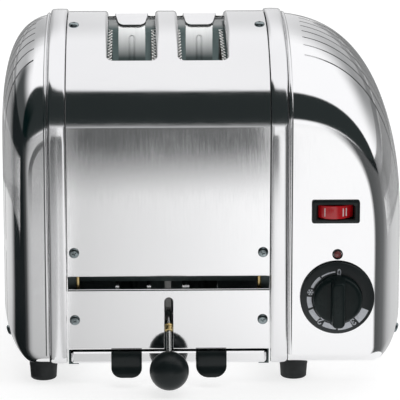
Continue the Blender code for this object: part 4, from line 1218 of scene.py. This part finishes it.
def build_guard(node):
    """Wire guard: upright wires on rails, with a thin zigzag wire along the slot's edge."""
    low, high = reach(node)
    x = spot(node).x
    chamber = SLOT_X if x > 0 else -SLOT_X
    inward = 1 if x < chamber else -1
    edge = chamber - inward * SLOT_HALF_WIDTH
    line = []
    for k in range(2 * EDGE_TEETH + 1):
        swing = 1 if k % 2 else -1
        for share in (-0.12, 0.12):
            y = low.y + 1 + (high.y - low.y - 2) * (k + share) / (2 * EDGE_TEETH)
            line.append((edge + inward * (1.2 + 1.15 * swing), y, EDGE_Z + 0.3 * swing))
    add_piece(node + "_edge_wire", tube(line, EDGE_WIRE, 8), BRIGHT_WIRE, sharp=60.0)
    span = high.y - low.y - 4
    depths = [low.y + 2 + span * k / (GUARD_UPRIGHTS - 1) for k in range(GUARD_UPRIGHTS)]
    bars = [((x, y, low.z), (x, y, high.z)) for y in depths]
    bars += [((x, low.y, z), (x, high.y, z))
             for z in (low.z + 2, low.z + 34, low.z + 66, high.z - 14)]
    wires = joined(*[tube(bar, GUARD_WIRE, 10) for bar in bars])
    add_piece(node + "_wires", wires, WIRE, replaces=node, sharp=60.0)


FLANGE = [(69.6, 193.6), (69.6, 197.0), (69.6, 199.5), (70.8, 202.2), (72.0, 202.5),
          (72.0, 201.9), (71.3, 201.6), (70.3, 199.3), (70.3, 197.0), (70.3, 193.6)]
FLANGE_HALF = 62.0


def build_chamber_flanges():
    """Light sheet under the crown at each end of the chambers, seen through the notches."""
    for name, sign in (("front", -1), ("back", 1)):
        add_piece("chamber_flange_" + name, bar_along_x(FLANGE, FLANGE_HALF, sign), FLANGE_STEEL)


def build_gap_shade_brackets():
    """Small angles behind the gap between the front panels, one beside each post; their dark steel
    is painted shade that fills the gap.
    """
    for name, side in (("left", -1), ("right", 1)):
        near = reach("spacer_post_" + name)[1].y + 1.5
        far = near + 12.0
        outline = [(56.5, near), (64.2, near), (64.2, far), (63.4, far), (63.4, near + 0.8),
                   (56.5, near + 0.8)]
        angle = prism([(side * x, y) for x, y in outline], 58.0, 76.0)
        add_piece("gap_shade_bracket_" + name, angle, DARK_STEEL)


RIBBON_TURNS, RIBBON_HALF_LENGTH = 13, 58.0


def build_windings(node):
    """Flat resistance ribbon wound round an insulating sheet."""
    low, high = reach(node)
    x, half = spot(node).x, half_size(node).x + 0.25
    outline = [(x - half, -RIBBON_HALF_LENGTH), (x + half, -RIBBON_HALF_LENGTH),
               (x + half, RIBBON_HALF_LENGTH), (x - half, RIBBON_HALF_LENGTH)]
    heights = [low.z + 8 + (high.z - low.z - 16) * k / (RIBBON_TURNS - 1)
               for k in range(RIBBON_TURNS)]
    ribbon = joined(*[prism(outline, z - 0.8, z + 0.8) for z in heights])
    add_piece(node + "_ribbon", ribbon, STEEL)


# ---------------------------------------------------------------- carried-over CAD nodes

KEPT_NODES = (
    (GAP_STEEL, ("chamber_plate_front",)),
    (DARK_STEEL, ("base_plate", "chamber_plate_back")),
    (MICA, ("element_left", "element_centre", "element_right")),
    (STEEL, ("carrier_left", "carrier_right", "carrier_crossbar", "lever_arm", "lever_shaft",
             "lever_bracket", "timer_spindle", "timer_body")),
    (POLISHED, ("crumb_tray",)),
    (CERAMIC, ("terminal_block",)),
    (BLACK, ("lamp_body",)),
    (BRASS, ("spacer_post_left", "spacer_post_right")),
)


def dress_nodes():
    for look, names in KEPT_NODES:
        for name in names:
            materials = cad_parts[name].data.materials
            materials.clear()
            materials.append(look)


# ---------------------------------------------------------------- studio

def stage_sheet(name, points, faces, look, at=(0.0, 0.0, 0.0), hidden=True):
    """Sheet in metres that stands in the studio; a hidden one shows in reflections only."""
    mesh = bpy.data.meshes.new(name)
    mesh.from_pydata(points, [], faces)
    mesh.materials.append(look)
    sheet = new_object(name, mesh, at)
    if hidden:
        sheet.visible_camera = False
        sheet.visible_diffuse = False
        sheet.visible_shadow = False
    return sheet


def floor_look():
    """Pale floor with a faint glow of its own."""
    material, tree = new_material("floor_white", Roughness=0.9, Specular_IOR_Level=0.0,
                                  Emission_Color=(1.0, 1.0, 1.0, 1.0),
                                  Emission_Strength=FLOOR_GLOW)
    darker = [c * 0.985 for c in FLOOR_TONE]
    dress_shader(tree, Base_Color=tree.tinted(tree.noise(3.0, 2.0), FLOOR_TONE, darker))
    return material


def window(tree, angle, low, high, feather):
    """One between two angles in degrees and nothing outside them, with soft edges."""
    sides = [tree.spread(angle, before, 1.0 - before, math.radians(edge - feather),
                         math.radians(edge + feather), "SMOOTHSTEP")
             for edge, before in ((low, 0.0), (high, 1.0))]
    return tree.maths("MULTIPLY", *sides)


# Zones of the surroundings, in degrees: angles from straight ahead, rightwards or upwards.
ALL_ROUND = 250.0
FRONT_RISE = (8.0, ALL_ROUND, 2.5)
FRONT_TOP = (-ALL_ROUND, 67.0, 2.5)
FRONT_LEAN = 0.75
FRONT_STRENGTH = 0.978
SIDE_TOP_FEATHER = 12.0
SIDE_ZONES = ((-142.0, -62.0, 8.0, 32.0, 0.94), (-178.0, -142.0, 8.0, 30.0, 0.55),
              (122.0, 172.0, 26.0, 24.0, 0.72))
WORLD_DARK = (-0.004, 0.006, 0.006)
WORLD_WHITE = (1.08, 1.08, 1.09)


def build_world():
    """Soft white surroundings with a dark zone in front and dimmer ones at the sides."""
    world = bpy.data.worlds.new("studio")
    bpy.context.scene.world = world
    tree = Tree(world)
    x, y, z = tree.places("Generated")
    ahead = tree.maths("MULTIPLY", y, -1.0)
    rise = tree.maths("ARCTAN2", z, ahead)
    leftwards = tree.maths("MAXIMUM", tree.maths("MULTIPLY", x, -1.0), 0.0)
    leaning = tree.maths("SUBTRACT", rise, tree.maths("MULTIPLY", leftwards, FRONT_LEAN))
    azimuth = tree.maths("ARCTAN2", x, ahead)
    elevation = tree.maths("ARCSINE", z)
    zones = [(window(tree, rise, *FRONT_RISE), window(tree, leaning, *FRONT_TOP),
              FRONT_STRENGTH)]
    for low, high, feather, top, strength in SIDE_ZONES:
        zones.append((window(tree, azimuth, low, high, feather),
                      window(tree, elevation, -ALL_ROUND, top, SIDE_TOP_FEATHER), strength))
    light = 1.0
    for around, below, strength in zones:
        dimmed = tree.maths("MULTIPLY", tree.maths("MULTIPLY", around, below), strength)
        light = tree.maths("MULTIPLY", light, tree.maths("SUBTRACT", 1.0, dimmed))
    background = tree.nodes["Background"]
    tree.feed(background.inputs["Color"], tree.tinted(light, WORLD_DARK, WORLD_WHITE))
    background.inputs["Strength"].default_value = 1.0


def aim_lamp(name, data, at, target):
    lamp = new_object(name, data, at)
    lamp.visible_glossy = False
    lamp.rotation_euler = (Vector(target) - Vector(at)).to_track_quat("-Z", "Y").to_euler()


def build_lights():
    """One broad soft light from above and a narrow one that reaches into the slots."""
    overhead = bpy.data.lights.new("overhead", "AREA")
    overhead.shape = "RECTANGLE"
    overhead.size, overhead.size_y = 2.0, 2.4
    overhead.energy = 10.0
    aim_lamp("overhead", overhead, (0.35, 0.1, 1.6), (0.0, 0.0, 0.0))
    beam = bpy.data.lights.new("slot_light", "SPOT")
    beam.energy, beam.shadow_soft_size = 85.0, 0.06
    beam.spot_size, beam.spot_blend = math.radians(9.0), 0.6
    aim_lamp("slot_light", beam, ORIGIN + Vector((0.0, -1.15, 0.64)),
             ORIGIN + Vector((0.0, 0.04, 0.2)))


def card_look(name):
    """Matt black whose cover is left to be set."""
    return new_material(name, Base_Color=(0.012, 0.016, 0.017, 1.0), Roughness=0.9,
                        Specular_IOR_Level=0.0)


def flag_look(name, axis, start, end, strength, side=0.0):
    """Black card whose cover grows between two places along an axis, X being 0 and Y 1.

    With a side, the cover also fades out at that distance from the card's middle line.
    """
    material, tree = card_look(name)
    places = tree.places()
    cover = tree.spread(places[axis], 0.0, strength, start, end)
    if side:
        sideways = tree.maths("ABSOLUTE", places[0])
        cover = tree.maths("MULTIPLY", cover, tree.spread(sideways, 1.0, 0.0, side, side * 1.3))
    dress_shader(tree, Alpha=cover)
    return material


def veil_look(name, stops):
    """Black card whose strength follows the angle round its own origin.

    Stops are (degrees, strength), the degrees counted from straight ahead to the right.
    """
    material, tree = card_look(name)
    x, y, _ = tree.places()
    low, high = math.radians(stops[0][0]), math.radians(stops[-1][0])
    share = tree.spread(tree.maths("ARCTAN2", x, y), 0.0, 1.0, low, high)
    colour = tree.node("ValToRGB", {"Fac": share})["Color"]
    elements = colour.node.color_ramp.elements
    while len(elements) < len(stops):
        elements.new(0.5)
    for element, (degrees, strength) in zip(elements, stops):
        element.position = (math.radians(degrees) - low) / (high - low)
        element.color = (strength, strength, strength, 1.0)
    dress_shader(tree, Alpha=colour)
    return material


def build_veil(name, apex, near, far, height, stops, turn=0.0):
    """Black card round a body corner: a sector of floor and a wall behind it.

    The card's own +Y points straight ahead, turned round Z by a number of degrees.
    """
    steps = 32
    start, end = math.radians(stops[0][0]), math.radians(stops[-1][0])
    angles = [start + (end - start) * k / steps for k in range(steps + 1)]
    rings = [[(radius * math.sin(a), radius * math.cos(a), up) for a in angles]
             for radius, up in ((near, 0.0), (far, 0.0), (far, height))]
    points = [p for ring in rings for p in ring]
    veil = stage_sheet(name, points, grid_faces(len(rings), steps + 1),
                       veil_look(name + "_look", stops),
                       ORIGIN + Vector((*apex, VEIL_HEIGHT)) * MM)
    veil.rotation_euler = (0.0, 0.0, math.radians(turn))


# Strength of each black card round its corner, as (degrees, strength).
VEIL_HEIGHT = 2.0
VEIL_RIGHT = [(-175.0, 0.45), (-158.0, 0.40), (-140.0, 0.42), (-120.0, 0.56), (-104.0, 0.74),
              (-85.0, 0.87), (-50.0, 0.91), (-20.0, 0.93), (-13.0, 0.55), (-6.0, 0.0),
              (0.0, 0.0)]
VEIL_LEFT = [(0.0, 0.0), (0.8, 0.46), (15.0, 0.50), (36.0, 0.62), (62.0, 0.95), (85.0, 1.0),
             (136.0, 1.0), (148.0, 0.42), (164.0, 0.30), (175.0, 0.36)]
VEIL_BACK = [(-88.0, 0.0), (-60.0, 0.55), (60.0, 0.55), (88.0, 0.0)]


FLOOR_HALF = 60.0
FLOOR_TONE = (0.40, 0.40, 0.40)
FLOOR_GLOW = 0.76
SQUARE = [(0, 1, 2, 3)]


def build_flag(name, look, corners, height, at=(0.0, 0.0, 0.0)):
    """Black card that lies just over the floor in front of the toaster."""
    points = [(x, y, height) for x, y in corners]
    stage_sheet(name, points, SQUARE, look, ORIGIN + Vector(at) * MM)


def build_studio():
    floor = [(-FLOOR_HALF, -FLOOR_HALF, 0.0), (FLOOR_HALF, -FLOOR_HALF, 0.0),
             (FLOOR_HALF, FLOOR_HALF, 0.0), (-FLOOR_HALF, FLOOR_HALF, 0.0)]
    stage_sheet("floor", floor, SQUARE, floor_look(), hidden=False)
    build_lights()
    build_veil("veil_right", (131.0, -100.0), 0.03, 0.85, 0.25, VEIL_RIGHT, turn=180.0)
    build_veil("veil_left", (-76.4, -100.0), 0.01, 0.85, 0.25, VEIL_LEFT, turn=180.0)
    build_veil("veil_back", (20.0, 0.0), 0.45, 12.0, 0.0, VEIL_BACK)
    build_flag("flag_front", flag_look("flag_fade", 1, -0.556, -0.715, 0.86, side=0.079),
               [(-0.12, -1.6), (0.12, -1.6), (0.12, -0.3), (-0.12, -0.3)], 0.0015,
               at=(5.0, 0.0, 0.0))
    build_flag("flag_front_left", flag_look("flag_left_fade", 1, -0.46, -0.70, 0.80),
               [(-0.4, -1.6), (-0.096, -1.6), (-0.086, -0.3), (-0.4, -0.3)], 0.0015)
    build_flag("flag_low", flag_look("flag_shade", 0, 0.080, -0.072, 0.37),
               [(-0.0755, -0.9), (0.09, -0.9), (0.075, -0.12), (-0.066, -0.12)], 0.001)
    build_world()


def build_camera():
    distance, elevation, azimuth = 2.106, 0.2623, 0.0208
    target = ORIGIN + Vector((21.9, 0.0, 95.2)) * MM
    back = Vector((-math.sin(azimuth) * math.cos(elevation),
                   -math.cos(azimuth) * math.cos(elevation), math.sin(elevation)))
    data = bpy.data.cameras.new("camera")
    data.lens = 286.4
    data.sensor_width = 36.0
    data.clip_start, data.clip_end = 0.1, 200.0
    camera = new_object("camera", data, target + back * distance)
    camera.rotation_euler = (-back).to_track_quat("-Z", "Y").to_euler()
    bpy.context.scene.camera = camera
    bpy.context.scene.view_settings.view_transform = "Standard"


# ---------------------------------------------------------------- assembly

build_camera()
build_studio()
dress_nodes()
build_crown()
build_end_frame("left_end_frame", -1)
build_end_frame("right_end_frame", 1)
build_cover("left_end_cover", LEFT_COVER)
build_cover("right_end_cover", RIGHT_COVER)
build_bead("left_end_cover", LEFT_COVER)
build_bead("right_end_cover", RIGHT_COVER)
build_panels()
build_screws()
build_feet()
build_gland()
build_lamp()
build_knob()
build_switch()
build_lever()
build_tab("tray_tab_left", 5.0)
build_tab("tray_tab_right", 6.0)
for place in ("left_front", "left_back", "right_front", "right_back"):
    build_guide("guide_" + place)
for place in ("left_outer", "left_inner", "right_inner", "right_outer"):
    build_guard("guard_" + place)
build_chamber_flanges()
build_gap_shade_brackets()
for place in ("left", "centre", "right"):
    build_windings("element_" + place)
